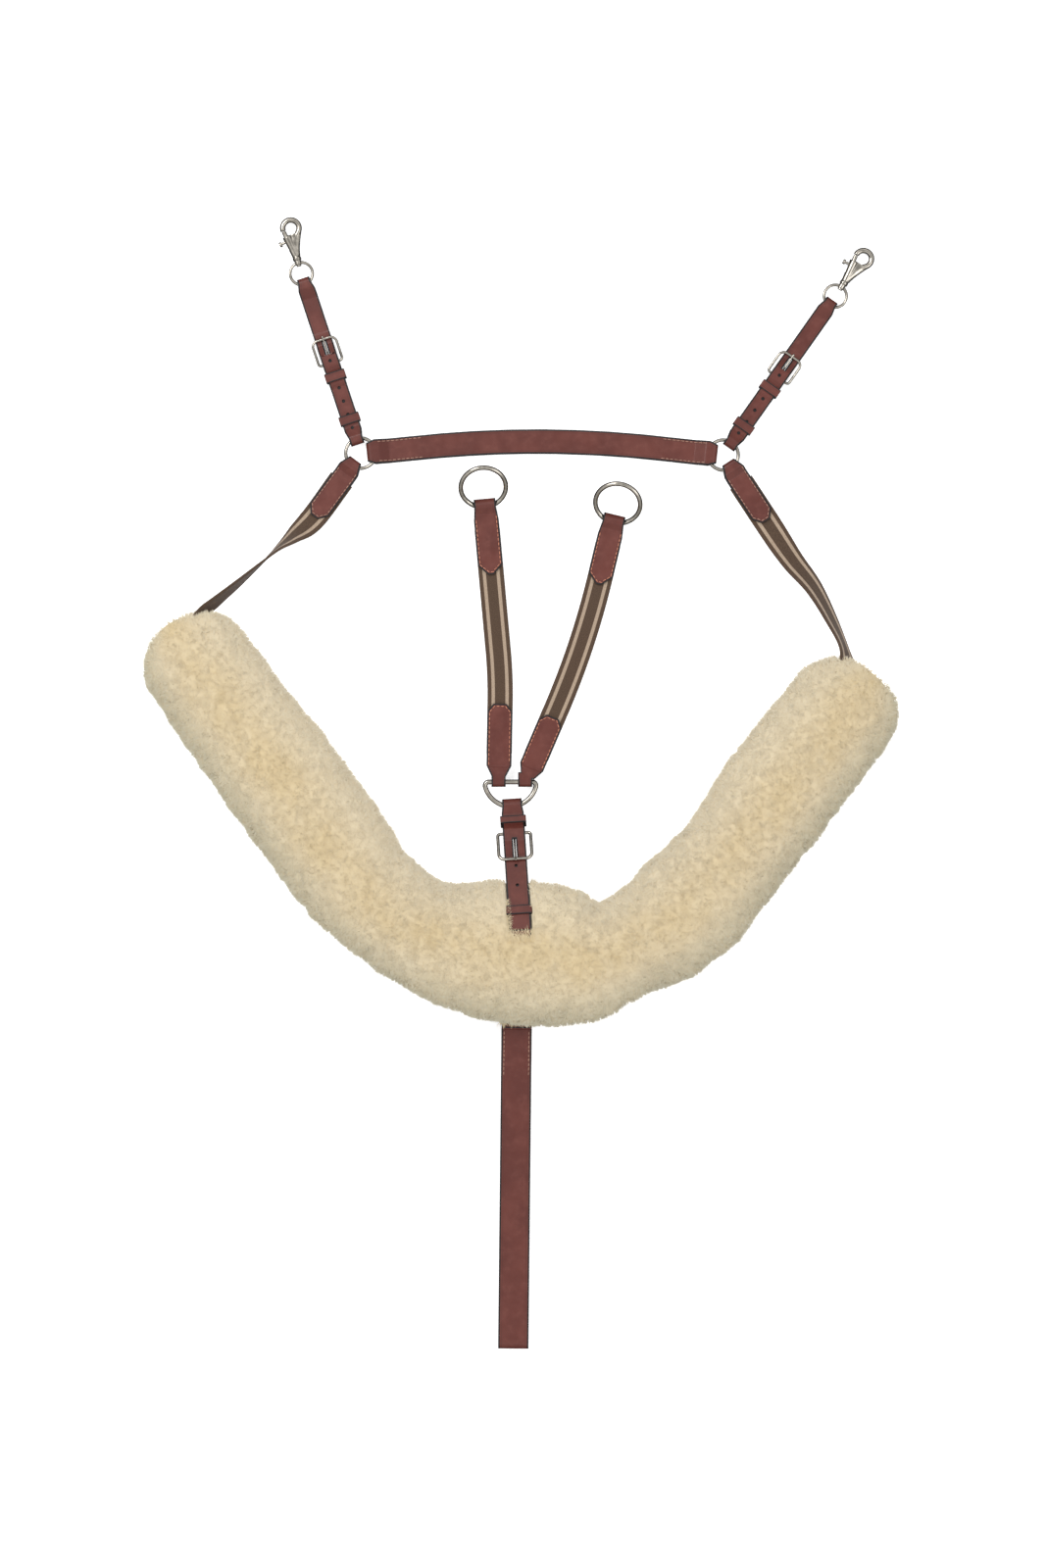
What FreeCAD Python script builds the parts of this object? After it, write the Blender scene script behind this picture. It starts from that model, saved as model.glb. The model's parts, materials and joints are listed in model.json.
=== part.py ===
import FreeCAD, Part
import math
import os

# Horse breastplate laid out flat on a floor, in millimetres.
# +Z is up, +Y points from the girth strap to the saddle snaps, and the origin lies under the middle
# of the whole outline, on the floor. Straps are rows of straight runs and arcs with a width, so
# every fold, step and curve is a tangent arc.

Vector = FreeCAD.Vector
UP = Vector(0, 0, 1)

# ---- driving dimensions -------------------------------------------------------------------------
GAP = 0.3                     # air between layers that lie on each other
FIT = 0.35                    # air round a piece that turns or slides

# leather
SADDLE_WIDTH = 16.0
SADDLE_THICK = 2.0
FORK_WIDTH = 20.5
FORK_THICK = 2.4
WITHER_WIDTH = 22.5
WITHER_THICK = 2.2
GIRTH_WIDTH = 28.0
GIRTH_BILLET_WIDTH = 18.5     # under the strap, so that the buckle stays hidden behind it
GIRTH_THICK = 3.0
TAB_THICK = 2.0
SHOULDER_TAB_WIDTH = 21.0
ARM_TAB_WIDTH = 23.0
BREAST_WIDTH = 28.0
BREAST_THICK = 3.0
KEEPER_THICK = 1.3
KEEPER_LENGTH = 8.6

# elastic webbing
ELASTIC_WIDTH = 24.0
ELASTIC_THICK = 1.5

# top rings, where three straps meet
TOP_RING_RADIUS = 13.9        # to the middle of the wire
TOP_RING_WIRE = 1.6           # wire radius
TOP_RING_Z = 6.6
LEFT_TOP_RING = Vector(-149.5, 304.1, TOP_RING_Z)
RIGHT_TOP_RING = Vector(184.5, 302.4, TOP_RING_Z)
WITHER_RISE = 6.0             # degrees that the wither strap climbs from each ring

# saddle straps, as they leave their rings
LEFT_SADDLE_HEADING = 108.3
RIGHT_SADDLE_HEADING = 54.8
LEFT_SADDLE_LENGTH = 152.0    # ring fold to snap fold
RIGHT_SADDLE_LENGTH = 157.0
SADDLE_HEEL = 74.5            # ring fold to the buckle's heel bar
SADDLE_LAST_HOLE = 11.7
HOLE_PITCH = 12.9
HOLE_RADIUS = 1.6

# bolt snaps
SNAP_Z = 5.4
LEFT_SNAP_HEADING = 106.5
RIGHT_SNAP_HEADING = 56.6
SWIVEL_RADIUS = 10.35
SWIVEL_WIRE = 1.35
EYE_CENTRE = (43.0, -2.6)
EYE_RADIUS = 7.6
HOOK_WIRE = 2.6
BARREL_TOP = 36.0
BOLT_START = (17.5, 0.45)
BOLT_HEADING = 10.3
BOLT_RADIUS = 2.0
BOLT_TRAVEL = 6.5

# shoulder elastics and their leather tabs
SHOULDER_TAB_LENGTH = 72.5
LEFT_TAB_HEADING = 233.6
RIGHT_TAB_HEADING = -56.7

# the neck fold: the elastics bend here as they leave the sheepskin
NECK_FOLD = (Vector(-287.0, 163.0, 30.0), Vector(294.3, 124.5, 30.0))

# martingale fork
ARM_Z = 6.5                   # middle of the arms' thickness and of the D ring
D_RING_X = -11.5
D_RING_BAR_Y = 1.0
D_RING_HALF_BAR = 20.0
D_RING_CORNER = 3.5
D_RING_CORNER_TURN = 105.0
D_RING_WIRE = 2.25
LEFT_ARM_X = -22.5
RIGHT_ARM_X = 2.0
BAR_LOOP_WIDTH = 13.0
MARTINGALE_RADIUS = 20.75
MARTINGALE_WIRE = 2.25
MARTINGALE_TILT = 35.0        # the rings stand up from the floor by this many degrees
ARM_LOOP_WIDTH = 20.0
FORK_SLOPE = 26.0             # the fork strap climbs onto the sheepskin at this angle
FORK_HEADING = -86.2
FORK_LENGTH = 123.0           # D ring fold to the fold at the sheepskin
FORK_HEEL = 28.0
FORK_HOLES = (60.4, 80.0)
FORK_KEEPER_AT = 105.0

# sheepskin tube
TUBE_Z = 32.0
TUBE_HALF_HEIGHT = 32.0
TUBE_END_RADIUS = 54.0
CENTRE_RING = Vector(-3.0, -153.6, 31.0)
CENTRE_RING_RADIUS = 18.0
CENTRE_RING_WIRE = 2.0
STRAP_Z = 31.0                # middle of the breast straps inside the tube

# girth strap, folded back under itself to a buckle
GIRTH_HINGE = Vector(-5.9, -227.0, 15.0)
GIRTH_HEADING = -90.6
GIRTH_LENGTH = 294.1
GIRTH_FOLD = 5.75
GIRTH_HEEL = 75.0

nodes = {}


class Path:
    """A walk along straight runs and tangent arcs in a plane. Headings are degrees from +x."""

    def __init__(self, x, y, heading):
        self.x = x
        self.y = y
        self.heading = heading
        self.moves = []

    def line(self, length):
        start = (self.x, self.y)
        self.x += length * math.cos(math.radians(self.heading))
        self.y += length * math.sin(math.radians(self.heading))
        self.moves.append(("line", start, self.heading, length))
        return self

    def to(self, x):
        """A straight run along x."""
        return self.line((x - self.x) / math.cos(math.radians(self.heading)))

    def arc(self, radius, turn):
        """Turns by this many degrees, left if positive."""
        start = (self.x, self.y)
        side = 1 if turn > 0 else -1
        before, after = math.radians(self.heading), math.radians(self.heading + turn)
        self.x += side * radius * (math.sin(after) - math.sin(before))
        self.y -= side * radius * (math.cos(after) - math.cos(before))
        self.moves.append(("arc", start, self.heading, radius, turn))
        self.heading += turn
        return self

    def step_to(self, y, radius=3.0, steepest=30.0):
        """A gentle double bend from a level run to another level, going on the same way."""
        rise = y - self.y
        if abs(rise) < 1e-6:
            return self
        angle = math.radians(steepest)
        bends = 2 * radius * (1 - math.cos(angle))
        if abs(rise) < bends:
            angle = math.acos(1 - abs(rise) / (2 * radius))
            bends = abs(rise)
        forward = 1 if math.cos(math.radians(self.heading)) > 0 else -1
        turn = math.degrees(angle) * forward * (1 if rise > 0 else -1)
        self.arc(radius, turn)
        if abs(rise) > bends + 1e-9:
            self.line((abs(rise) - bends) / math.sin(angle))
        return self.arc(radius, -turn)

    def length(self):
        total = 0
        for move in self.moves:
            total += move[3] if move[0] == "line" else move[3] * math.radians(abs(move[4]))
        return total

    def at(self, distance):
        """Position and heading at a distance along the walk."""
        for move in self.moves:
            run = move[3] if move[0] == "line" else move[3] * math.radians(abs(move[4]))
            if distance <= run or move is self.moves[-1]:
                walk = Path(move[1][0], move[1][1], move[2])
                if move[0] == "line":
                    walk.line(distance)
                else:
                    walk.arc(move[3], math.copysign(math.degrees(distance / move[3]), move[4]))
                return walk.x, walk.y, walk.heading
            distance -= run

    def part(self, start, end):
        """The stretch of this walk between two distances along it."""
        x, y, heading = self.at(start)
        piece = Path(x, y, heading)
        passed = 0
        for move in self.moves:
            run = move[3] if move[0] == "line" else move[3] * math.radians(abs(move[4]))
            use = min(passed + run, end) - max(passed, start)
            passed += run
            if use > 1e-6 and move[0] == "line":
                piece.line(use)
            elif use > 1e-6:
                piece.arc(move[3], math.copysign(math.degrees(use / move[3]), move[4]))
        return piece

    def edges(self, offset=0.0):
        """The walk as edges, shifted to its left by the offset."""
        found = []
        for move in self.moves:
            (x, y), heading = move[1], math.radians(move[2])
            if move[0] == "line":
                nx, ny = -math.sin(heading) * offset, math.cos(heading) * offset
                start = Vector(x + nx, y + ny, 0)
                run = Vector(math.cos(heading), math.sin(heading), 0) * move[3]
                found.append(Part.LineSegment(start, start + run).toShape())
                continue
            radius, turn = move[3], math.radians(move[4])
            side = 1 if turn > 0 else -1
            cx = x - side * radius * math.sin(heading)
            cy = y + side * radius * math.cos(heading)
            reach = side * (radius - side * offset)
            points = []
            for share in (0, 0.5, 1):
                a = heading + turn * share
                points.append(Vector(cx + reach * math.sin(a), cy - reach * math.cos(a), 0))
            found.append(Part.Arc(*points).toShape())
        return found

    def band(self, width):
        """A flat face of this width with the walk down its middle."""
        left, right = self.edges(width / 2), self.edges(-width / 2)
        caps = [
            Part.LineSegment(left[0].firstVertex().Point, right[0].firstVertex().Point).toShape(),
            Part.LineSegment(left[-1].lastVertex().Point, right[-1].lastVertex().Point).toShape(),
        ]
        return Part.Face(Part.Wire(Part.__sortEdges__(left + right + caps)))


class Frame:
    """A local frame: u runs along a strap, v across it to the left, w up through it."""

    def __init__(self, origin, heading, slope=0.0):
        turn = FreeCAD.Rotation(UP, heading)
        climb = FreeCAD.Rotation(Vector(0, 1, 0), -slope)
        self.placement = FreeCAD.Placement(origin, turn.multiply(climb))

    def place(self, shape):
        moved = shape.copy()
        moved.Placement = self.placement.multiply(moved.Placement)
        return moved

    def point(self, u, v=0.0, w=0.0):
        return self.placement.multVec(Vector(u, v, w))

    def direction(self, u, v=0.0, w=0.0):
        return self.placement.Rotation.multVec(Vector(u, v, w))


def add(name, shape):
    nodes[name] = shape


def folded(path, thick, width):
    """A strip whose side view is the path (u across, w up), centred on v = 0."""
    solid = path.band(thick).extrude(Vector(0, 0, width))
    solid.translate(Vector(0, 0, -width / 2))
    solid.rotate(Vector(0, 0, 0), Vector(1, 0, 0), 90)
    return solid


def flat(path, width, bottom, thick):
    """A strip whose plan view is the path."""
    solid = path.band(width).extrude(Vector(0, 0, thick))
    solid.translate(Vector(0, 0, bottom))
    return solid


def prism(outline, low=-100.0, high=200.0):
    """An upright prism on a plan outline given as (u, v) points."""
    points = [Vector(u, v, low) for u, v in outline]
    wire = Part.makePolygon(points + points[:1])
    return Part.Face(wire).extrude(Vector(0, 0, high - low))


def box(low, high):
    size = [b - a for a, b in zip(low, high)]
    return Part.makeBox(*size, Vector(*low))


def rod(path, radius, plane_z=0.0):
    """Round wire bent along a plan path."""
    wire = Part.Wire(Part.__sortEdges__(path.edges()))
    x, y, heading = path.at(0)
    along = Vector(math.cos(math.radians(heading)), math.sin(math.radians(heading)), 0)
    section = Part.Wire(Part.Circle(Vector(x, y, 0), along, radius).toShape())
    solid = wire.makePipeShell([section], True, False)
    solid.translate(Vector(0, 0, plane_z))
    return solid


def sagitta(radius, half_width):
    return radius - math.sqrt(radius ** 2 - half_width ** 2)


def loop_reach(radius, half_width):
    """From a ring's middle to the axis of a strap folded round it."""
    return radius - sagitta(radius, half_width) / 2


def loop_pocket(radius, wire, half_width):
    """Inner radius of a fold that lets a ring swing in it."""
    slant = math.cos(math.asin(half_width / radius))
    return wire / slant + sagitta(radius, half_width) / 2 + FIT


def tab_outline(tip, half, start, start_half, shoulder, point_length, point_half):
    """A tab in plan: narrow where it folds, full width, then a blunt point."""
    side = [(start, start_half), (shoulder, half), (tip - point_length, half), (tip, point_half)]
    return side + [(u, -v) for u, v in reversed(side)]


def keeper(at, half_width, low, high, length=KEEPER_LENGTH):
    """A leather loop round everything between the levels low and high."""
    inner_half = half_width + FIT
    u0, u1 = at - length / 2, at + length / 2
    outer = box(
        (u0, -inner_half - KEEPER_THICK, low - FIT - KEEPER_THICK),
        (u1, inner_half + KEEPER_THICK, high + FIT + KEEPER_THICK),
    )
    edges = [e for e in outer.Edges if abs(e.tangentAt(e.FirstParameter).x) > 0.99]
    outer = outer.makeFillet(1.2, edges)
    return outer.cut(box((u0 - 1, -inner_half, low - FIT), (u1 + 1, inner_half, high + FIT)))


class Adjuster:
    """Levels of a strap that folds round a ring and runs back to its own buckle."""

    def __init__(self, thick, width, pocket, bar, heel, frame_length, floor, side_room):
        self.thick, self.width, self.pocket, self.bar = thick, width, pocket, bar
        self.side_room = side_room
        self.heel, self.frame_length = heel, frame_length
        self.low = floor + thick / 2
        self.second = self.low + thick + GAP
        self.third = self.second + thick + GAP
        self.ring_z = self.low + pocket + thick / 2
        self.bar_fit = bar + GAP
        self.bar_z = self.low + thick / 2 + self.bar_fit
        self.chape_top = self.bar_z + self.bar_fit + thick / 2
        self.over = self.chape_top + thick + GAP
        self.front = heel + frame_length
        self.front_z = self.bar_z + 1.8
        self.under = self.front_z - bar - 0.6 - thick / 2

    def path(self):
        """From the sewn end, round the heel bar, the ring, and up through the buckle."""
        path = Path(self.heel - 17, self.second, 0)
        path.to(self.heel - 7).step_to(self.chape_top).to(self.heel)
        path.arc(self.bar_fit + self.thick / 2, -180)
        path.to(0).arc(self.pocket + self.thick / 2, -180)
        path.to(2).step_to(self.second).to(max(self.heel - 24, path.x))
        path.step_to(self.third).to(max(self.heel - 8.5, path.x)).step_to(self.over)
        path.to(self.heel + 7).step_to(self.under).to(self.front + 5)
        return path

    def buckle(self):
        """A round-wire frame, square at the heel bar and rounded at the front bar."""
        half = self.width / 2 + self.side_room + self.bar
        heel_corner, front_corner = 2.4, 5.5
        span = self.frame_length - heel_corner - front_corner
        path = Path(0, -half + heel_corner, 90)
        path.line(2 * half - 2 * heel_corner).arc(heel_corner, -90).line(span)
        path.arc(front_corner, -90).line(2 * half - 2 * front_corner).arc(front_corner, -90)
        path.line(span).arc(heel_corner, -90)
        frame = rod(path, self.bar)
        lean = math.degrees(math.atan2(self.front_z - self.bar_z, self.frame_length))
        frame.rotate(Vector(0, 0, 0), Vector(0, 1, 0), -lean)
        frame.translate(Vector(self.heel, 0, self.bar_z))
        return frame

    def tongue(self):
        """An eye round the heel bar and a pin that rests on the front bar."""
        radius = 0.9
        rise = self.front_z + self.bar + radius + FIT - self.bar_z
        pin_length = math.hypot(rise, self.frame_length)
        direction = Vector(self.frame_length, 0, rise).normalize()
        eye = Part.makeTorus(self.bar + GAP + radius, radius, Vector(0, 0, 0), Vector(0, 1, 0))
        pin = Part.makeCylinder(radius, pin_length, direction * (self.bar + 0.7), direction)
        tip = Part.makeSphere(radius, direction * (self.bar + 0.7 + pin_length))
        solid = eye.fuse([pin, tip]).removeSplitter()
        solid.translate(Vector(self.heel, 0, self.bar_z))
        return solid

    def clear_tongue(self, strap):
        """The slots in the strap that the tongue's eye and pin pass through."""
        half = 1.3
        top = self.chape_top + self.thick / 2 + 0.2
        eye_slot = box((self.heel - 5, -half, 0), (self.heel + 6, half, top))
        pin_slot = box((self.heel + 8, -half, self.under - 3), (self.front - 2, half, self.over + 3))
        return strap.cut([eye_slot, pin_slot])


# ---- hardware ------------------------------------------------------------------------------------
def ring(centre, radius, wire, tilt_axis=None, tilt=0.0, hinge=None):
    solid = Part.makeTorus(radius, wire, centre, UP)
    if tilt_axis is not None:
        solid.rotate(hinge, tilt_axis, tilt)
    return solid


def snap_frame(side):
    strap = saddle_frame(side)
    fold = SADDLE_LENGTHS[side] + loop_reach(SWIVEL_RADIUS, SNAP_FOLD_HALF)
    centre = strap.point(fold, 0, SNAP_Z)
    return Frame(centre, SNAP_HEADINGS[side])


def make_snap(side):
    """A swivel bolt snap: ring, pin, hooked body, sprung bolt."""
    frame = snap_frame(side)
    ahead = Vector(1, 0, 0)
    swivel = Part.makeTorus(SWIVEL_RADIUS, SWIVEL_WIRE)
    swivel = swivel.fuse(Part.makeCylinder(3.2, 3.8, Vector(8.6, 0, 0), ahead))
    swivel = swivel.cut(Part.makeCylinder(1.3, 20, Vector(0, 0, 0), ahead))
    pin = Part.makeCylinder(0.95, 5.0, Vector(7.7, 0, 0), ahead)
    pin = pin.fuse(Part.makeCylinder(2.2, 1.2, Vector(7.1, 0, 0), ahead))

    bolt_frame = Frame(Vector(BOLT_START[0], BOLT_START[1], 0), BOLT_HEADING)
    lower = Part.Wire(Part.Circle(Vector(15.4, 0, 0), ahead, 3.4).toShape())
    upper = Part.Wire(Part.Circle(Vector(BARREL_TOP, 3.0, 0), ahead, 4.4).toShape())
    body = Part.makeLoft([lower, upper], True, True)
    body = body.fuse(Part.makeCylinder(3.9, 2.8, Vector(12.7, 0, 0), ahead))
    start_turn = -40.0
    nx, ny = -math.sin(math.radians(start_turn)), math.cos(math.radians(start_turn))
    lead_in = 9.0
    hook_x = EYE_CENTRE[0] - nx * EYE_RADIUS - lead_in * math.cos(math.radians(start_turn))
    hook_y = EYE_CENTRE[1] - ny * EYE_RADIUS - lead_in * math.sin(math.radians(start_turn))
    hook = Path(hook_x, hook_y, start_turn).line(lead_in).arc(EYE_RADIUS, 225)
    body = body.fuse(rod(hook, HOOK_WIRE))
    knob_at = 15.0
    bore = Part.makeCylinder(BOLT_RADIUS + 0.3, 22.0, Vector(0, 0, 0), ahead)
    slot = box((knob_at - BOLT_TRAVEL - 1.7, 0, -1.5), (knob_at + 1.7, 12, 1.5))
    body = body.cut([bolt_frame.place(bore), bolt_frame.place(slot)])

    bolt = Part.makeCylinder(BOLT_RADIUS, 13.5, Vector(11.0, 0, 0), ahead)
    stem = Part.makeCylinder(1.2, 7.0, Vector(knob_at, 0, 0), Vector(0, 1, 0))
    knob = Part.makeCylinder(2.4, 2.6, Vector(knob_at, 6.4, 0), Vector(0, 1, 0))
    knob = knob.makeFillet(0.8, knob.Edges[:1] + knob.Edges[2:3])
    bolt = bolt.fuse([stem, knob])
    spring = spring_solid(0.4, 10.6, 1.7, 0.28, 7)

    add(side + "_swivel_ring", frame.place(swivel))
    add(side + "_swivel_pin", frame.place(pin))
    add(side + "_snap_body", frame.place(body))
    add(side + "_snap_bolt", frame.place(bolt_frame.place(bolt)))
    add(side + "_bolt_spring", frame.place(bolt_frame.place(spring)))


def spring_solid(start, end, radius, wire, turns):
    """A coil spring with its axis along u."""
    pitch = (end - start - 2 * wire) / turns
    coil = Part.makeHelix(pitch, pitch * turns, radius)
    section = Part.Wire(Part.Circle(Vector(radius, 0, 0), Vector(0, 1, 0), wire).toShape())
    solid = Part.Wire(coil.Edges).makePipeShell([section], True, True)
    solid.rotate(Vector(0, 0, 0), Vector(0, 1, 0), 90)
    solid.translate(Vector(start + wire, 0, 0))
    return solid


# ---- saddle straps -------------------------------------------------------------------------------
TOP_RINGS = {"left": LEFT_TOP_RING, "right": RIGHT_TOP_RING}
SADDLE_HEADINGS = {"left": LEFT_SADDLE_HEADING, "right": RIGHT_SADDLE_HEADING}
SADDLE_LENGTHS = {"left": LEFT_SADDLE_LENGTH, "right": RIGHT_SADDLE_LENGTH}
SNAP_HEADINGS = {"left": LEFT_SNAP_HEADING, "right": RIGHT_SNAP_HEADING}

RING_FOLD_HALF = 6.3
SNAP_FOLD_HALF = 6.0
saddle_pocket = loop_pocket(TOP_RING_RADIUS, TOP_RING_WIRE, RING_FOLD_HALF)
saddle_floor = TOP_RING_Z - saddle_pocket - SADDLE_THICK
SADDLE = Adjuster(SADDLE_THICK, SADDLE_WIDTH, saddle_pocket, 1.2, SADDLE_HEEL, 23.0, saddle_floor, 2.2)
snap_pocket = loop_pocket(SWIVEL_RADIUS, SWIVEL_WIRE, SNAP_FOLD_HALF)
SLIDING_KEEPER_AT = 20.0


def saddle_frame(side):
    centre = TOP_RINGS[side]
    away = Frame(Vector(centre.x, centre.y, 0), SADDLE_HEADINGS[side])
    return Frame(away.point(loop_reach(TOP_RING_RADIUS, RING_FOLD_HALF)), SADDLE_HEADINGS[side])


def make_saddle_strap(side):
    frame = saddle_frame(side)
    length = SADDLE_LENGTHS[side]
    pair_top = SNAP_Z - snap_pocket + SADDLE_THICK / 2 + GAP
    snap_top = SNAP_Z + snap_pocket + SADDLE_THICK / 2
    path = SADDLE.path()
    path.step_to(pair_top).to(length - 15).step_to(snap_top).to(length)
    path.arc(snap_pocket + SADDLE_THICK / 2, -180).to(length - 30)
    strap = folded(path, SADDLE_THICK, SADDLE_WIDTH)
    half = SADDLE_WIDTH / 2
    outline = [(-6, RING_FOLD_HALF), (2, RING_FOLD_HALF), (9, half)]
    outline += [(length - 7, half), (length, SNAP_FOLD_HALF), (length + 6, SNAP_FOLD_HALF)]
    strap = strap.common(prism(outline + [(u, -v) for u, v in reversed(outline)]))
    hole_floor = SADDLE.second - SADDLE_THICK / 2 - 0.1
    holes = []
    for number in range(6):
        at = SADDLE_LAST_HOLE + HOLE_PITCH * number
        holes.append(Part.makeCylinder(HOLE_RADIUS, 20, Vector(at, 0, hole_floor)))
    strap = SADDLE.clear_tongue(strap.cut(holes[:4] + holes[5:]))
    top = SADDLE.second + SADDLE_THICK / 2
    third_top = SADDLE.third + SADDLE_THICK / 2
    floor = SADDLE.low - SADDLE_THICK / 2
    add(side + "_saddle_strap", frame.place(strap))
    add(side + "_saddle_buckle", frame.place(SADDLE.buckle()))
    add(side + "_buckle_tongue", frame.place(SADDLE.tongue()))
    add(side + "_fixed_keeper", frame.place(keeper(SADDLE_HEEL - 13, half, floor, third_top)))
    add(side + "_sliding_keeper", frame.place(keeper(SLIDING_KEEPER_AT, half, floor, top)))


# ---- collar: top rings, wither strap, shoulder elastics ------------------------------------------
FLAT_POCKET = TOP_RING_WIRE + GAP          # half the gap that a ring lies in


def make_wither_strap():
    """Folded round both rings, its ends returned under it, with a lining between them."""
    across = RIGHT_TOP_RING - LEFT_TOP_RING
    chord = across.Length
    lean = math.degrees(math.atan2(across.y, across.x))
    straight, returned, fold_at = 60.0, 46.0, 9.6
    thick = WITHER_THICK
    low = 0.4 + thick / 2
    high = low + thick + GAP
    reach = FLAT_POCKET + thick / 2
    ends = []
    for ring_centre, heading in (
        (LEFT_TOP_RING, lean + WITHER_RISE),
        (RIGHT_TOP_RING, lean + 180 - WITHER_RISE),
    ):
        frame = Frame(Vector(ring_centre.x, ring_centre.y, 0), heading)
        path = Path(returned, low, 180).to(fold_at + 14).step_to(TOP_RING_Z - reach).to(fold_at)
        path.arc(reach, -180).to(TOP_RING_RADIUS + TOP_RING_WIRE).step_to(high).to(straight)
        end = folded(path, thick, WITHER_WIDTH)
        half = WITHER_WIDTH / 2
        outline = tab_outline(straight, half, 4.5, 8.0, 13, 1, half)
        ends.append(frame.place(end.common(prism(outline))))
    half_chord = chord / 2 - straight * math.cos(math.radians(WITHER_RISE))
    radius = half_chord / math.sin(math.radians(WITHER_RISE))
    plan = Path(LEFT_TOP_RING.x, LEFT_TOP_RING.y, lean + WITHER_RISE)
    plan.line(straight).arc(radius, -2 * WITHER_RISE).line(straight)
    middle = flat(plan.part(straight, plan.length() - straight), WITHER_WIDTH, high - thick / 2, thick)
    add("wither_strap", middle.fuse(ends).removeSplitter())
    lining = plan.part(returned + 0.5, plan.length() - returned - 0.5)
    add("wither_lining", flat(lining, WITHER_WIDTH, low - thick / 2, thick))


def blend_between(a, b, share):
    return a + (b - a) * share


def twisted_elastic(stations):
    """A webbing strip through stations of (position, heading, tilt), tilt about its own length."""
    sections = []
    for position, heading, tilt in stations:
        along = Vector(math.cos(math.radians(heading)), math.sin(math.radians(heading)), 0)
        side = UP.cross(along)
        turn = FreeCAD.Rotation(along, tilt)
        across = turn.multVec(side) * (ELASTIC_WIDTH / 2)
        through = turn.multVec(UP) * (ELASTIC_THICK / 2)
        corners = [
            position + across + through,
            position - across + through,
            position - across - through,
            position + across - through,
        ]
        sections.append(Part.makePolygon(corners + corners[:1]))
    return Part.makeLoft(sections, True, True)


def neck_hinge_side(outside):
    """All the space on one side of the neck fold, short of the fold by the webbing's clearance."""
    frame = Frame(NECK_FOLD[0], math.degrees(math.atan2(*reversed((NECK_FOLD[1] - NECK_FOLD[0])[:2]))))
    clear = ELASTIC_THICK / 2 + GAP
    if outside:
        return frame.place(box((-200, clear, -200), (900, 400, 200)))
    return frame.place(box((-200, -400, -200), (900, -clear, 200)))


def elastic_stations(points):
    """Eases between the given (position, heading, tilt) stations in four steps each."""
    stations = []
    for first, second in zip(points, points[1:]):
        for step in range(4):
            share = step / 4
            stations.append(tuple(blend_between(a, b, share) for a, b in zip(first, second)))
    stations.append(points[-1])
    return stations


def make_shoulder(side, heading, points):
    """The tab on the top ring, and the elastic that runs from it into the sheepskin."""
    ring_centre = TOP_RINGS[side]
    frame = Frame(Vector(ring_centre.x, ring_centre.y, 0), heading)
    fold_at, tip = 11.7, SHOULDER_TAB_LENGTH
    thick = TAB_THICK
    low = 0.4 + thick / 2
    high = low + thick + ELASTIC_THICK + 2 * GAP
    reach = FLAT_POCKET + thick / 2
    path = Path(tip - 3, low, 180).to(fold_at + 14).step_to(TOP_RING_Z - reach).to(fold_at)
    path.arc(reach, -180).to(TOP_RING_RADIUS + TOP_RING_WIRE).step_to(high).to(tip)
    tab = folded(path, thick, SHOULDER_TAB_WIDTH)
    outline = tab_outline(tip, SHOULDER_TAB_WIDTH / 2, 7.5, 6.0, fold_at + 7, 8, 4)
    add(side + "_shoulder_tab", frame.place(tab.common(prism(outline))))
    middle = (low + high) / 2
    start = (frame.point(26, 0, middle), heading, 0.0)
    leave = (frame.point(tip + 2, 0, middle), heading, 0.0)
    webbing = twisted_elastic(elastic_stations([start, leave] + points))
    add(side + "_shoulder_elastic", webbing.common(neck_hinge_side(True)))
    add(side + "_elastic_end", webbing.common(neck_hinge_side(False)))
    add(side + "_top_ring", ring(ring_centre, TOP_RING_RADIUS, TOP_RING_WIRE))


# ---- sheepskin and what is inside it -------------------------------------------------------------
def tube_line():
    """The middle of the sheepskin tube in plan, from its left end to its right end."""
    line = Path(-292.5, 103.5, -53.3).line(246.3).arc(140.0, 48.3).line(91.8)
    return line.arc(70.0, 38.0).line(47.4).arc(200.0, 18.5).line(176.0)


def ellipse_section(x, y, heading, half_width, half_height):
    """An upright oval across the tube."""
    turn = FreeCAD.Rotation(UP, heading)
    stand = FreeCAD.Rotation(UP, 90).multiply(FreeCAD.Rotation(Vector(1, 0, 0), 90))
    wire = Part.Wire(Part.Ellipse(Vector(0, 0, 0), half_width, half_height).toShape())
    wire.Placement = FreeCAD.Placement(Vector(x, y, TUBE_Z), turn.multiply(stand))
    return wire


def section_distances(line):
    """Both ends of every stretch, and points between them where it bends."""
    distances = [0.0]
    for move in line.moves:
        steps = 1
        run = move[3]
        if move[0] == "arc":
            steps = math.ceil(abs(move[4]) / 8)
            run = move[3] * math.radians(abs(move[4]))
        start = distances[-1]
        distances += [start + run * (step + 1) / steps for step in range(steps)]
    return distances


def tube_half_width(distance, middle, length):
    """Widest under the chest, drawn in a little where each arm bends away from it."""
    known = [
        (0.0, 52.0), (middle - 300, 55.0), (middle - 187, 55.0), (middle - 122, 50.0), (middle - 62, 57.0),
        (middle, 66.0), (middle + 37, 65.0), (middle + 99, 49.0), (middle + 138, 54.0),
        (middle + 233, 51.0), (middle + 283, 54.5), (length, 52.5),
    ]
    for (d0, w0), (d1, w1) in zip(known, known[1:]):
        if distance <= d1 + 1e-6:
            return w0 + (w1 - w0) * (distance - d0) / (d1 - d0)


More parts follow.
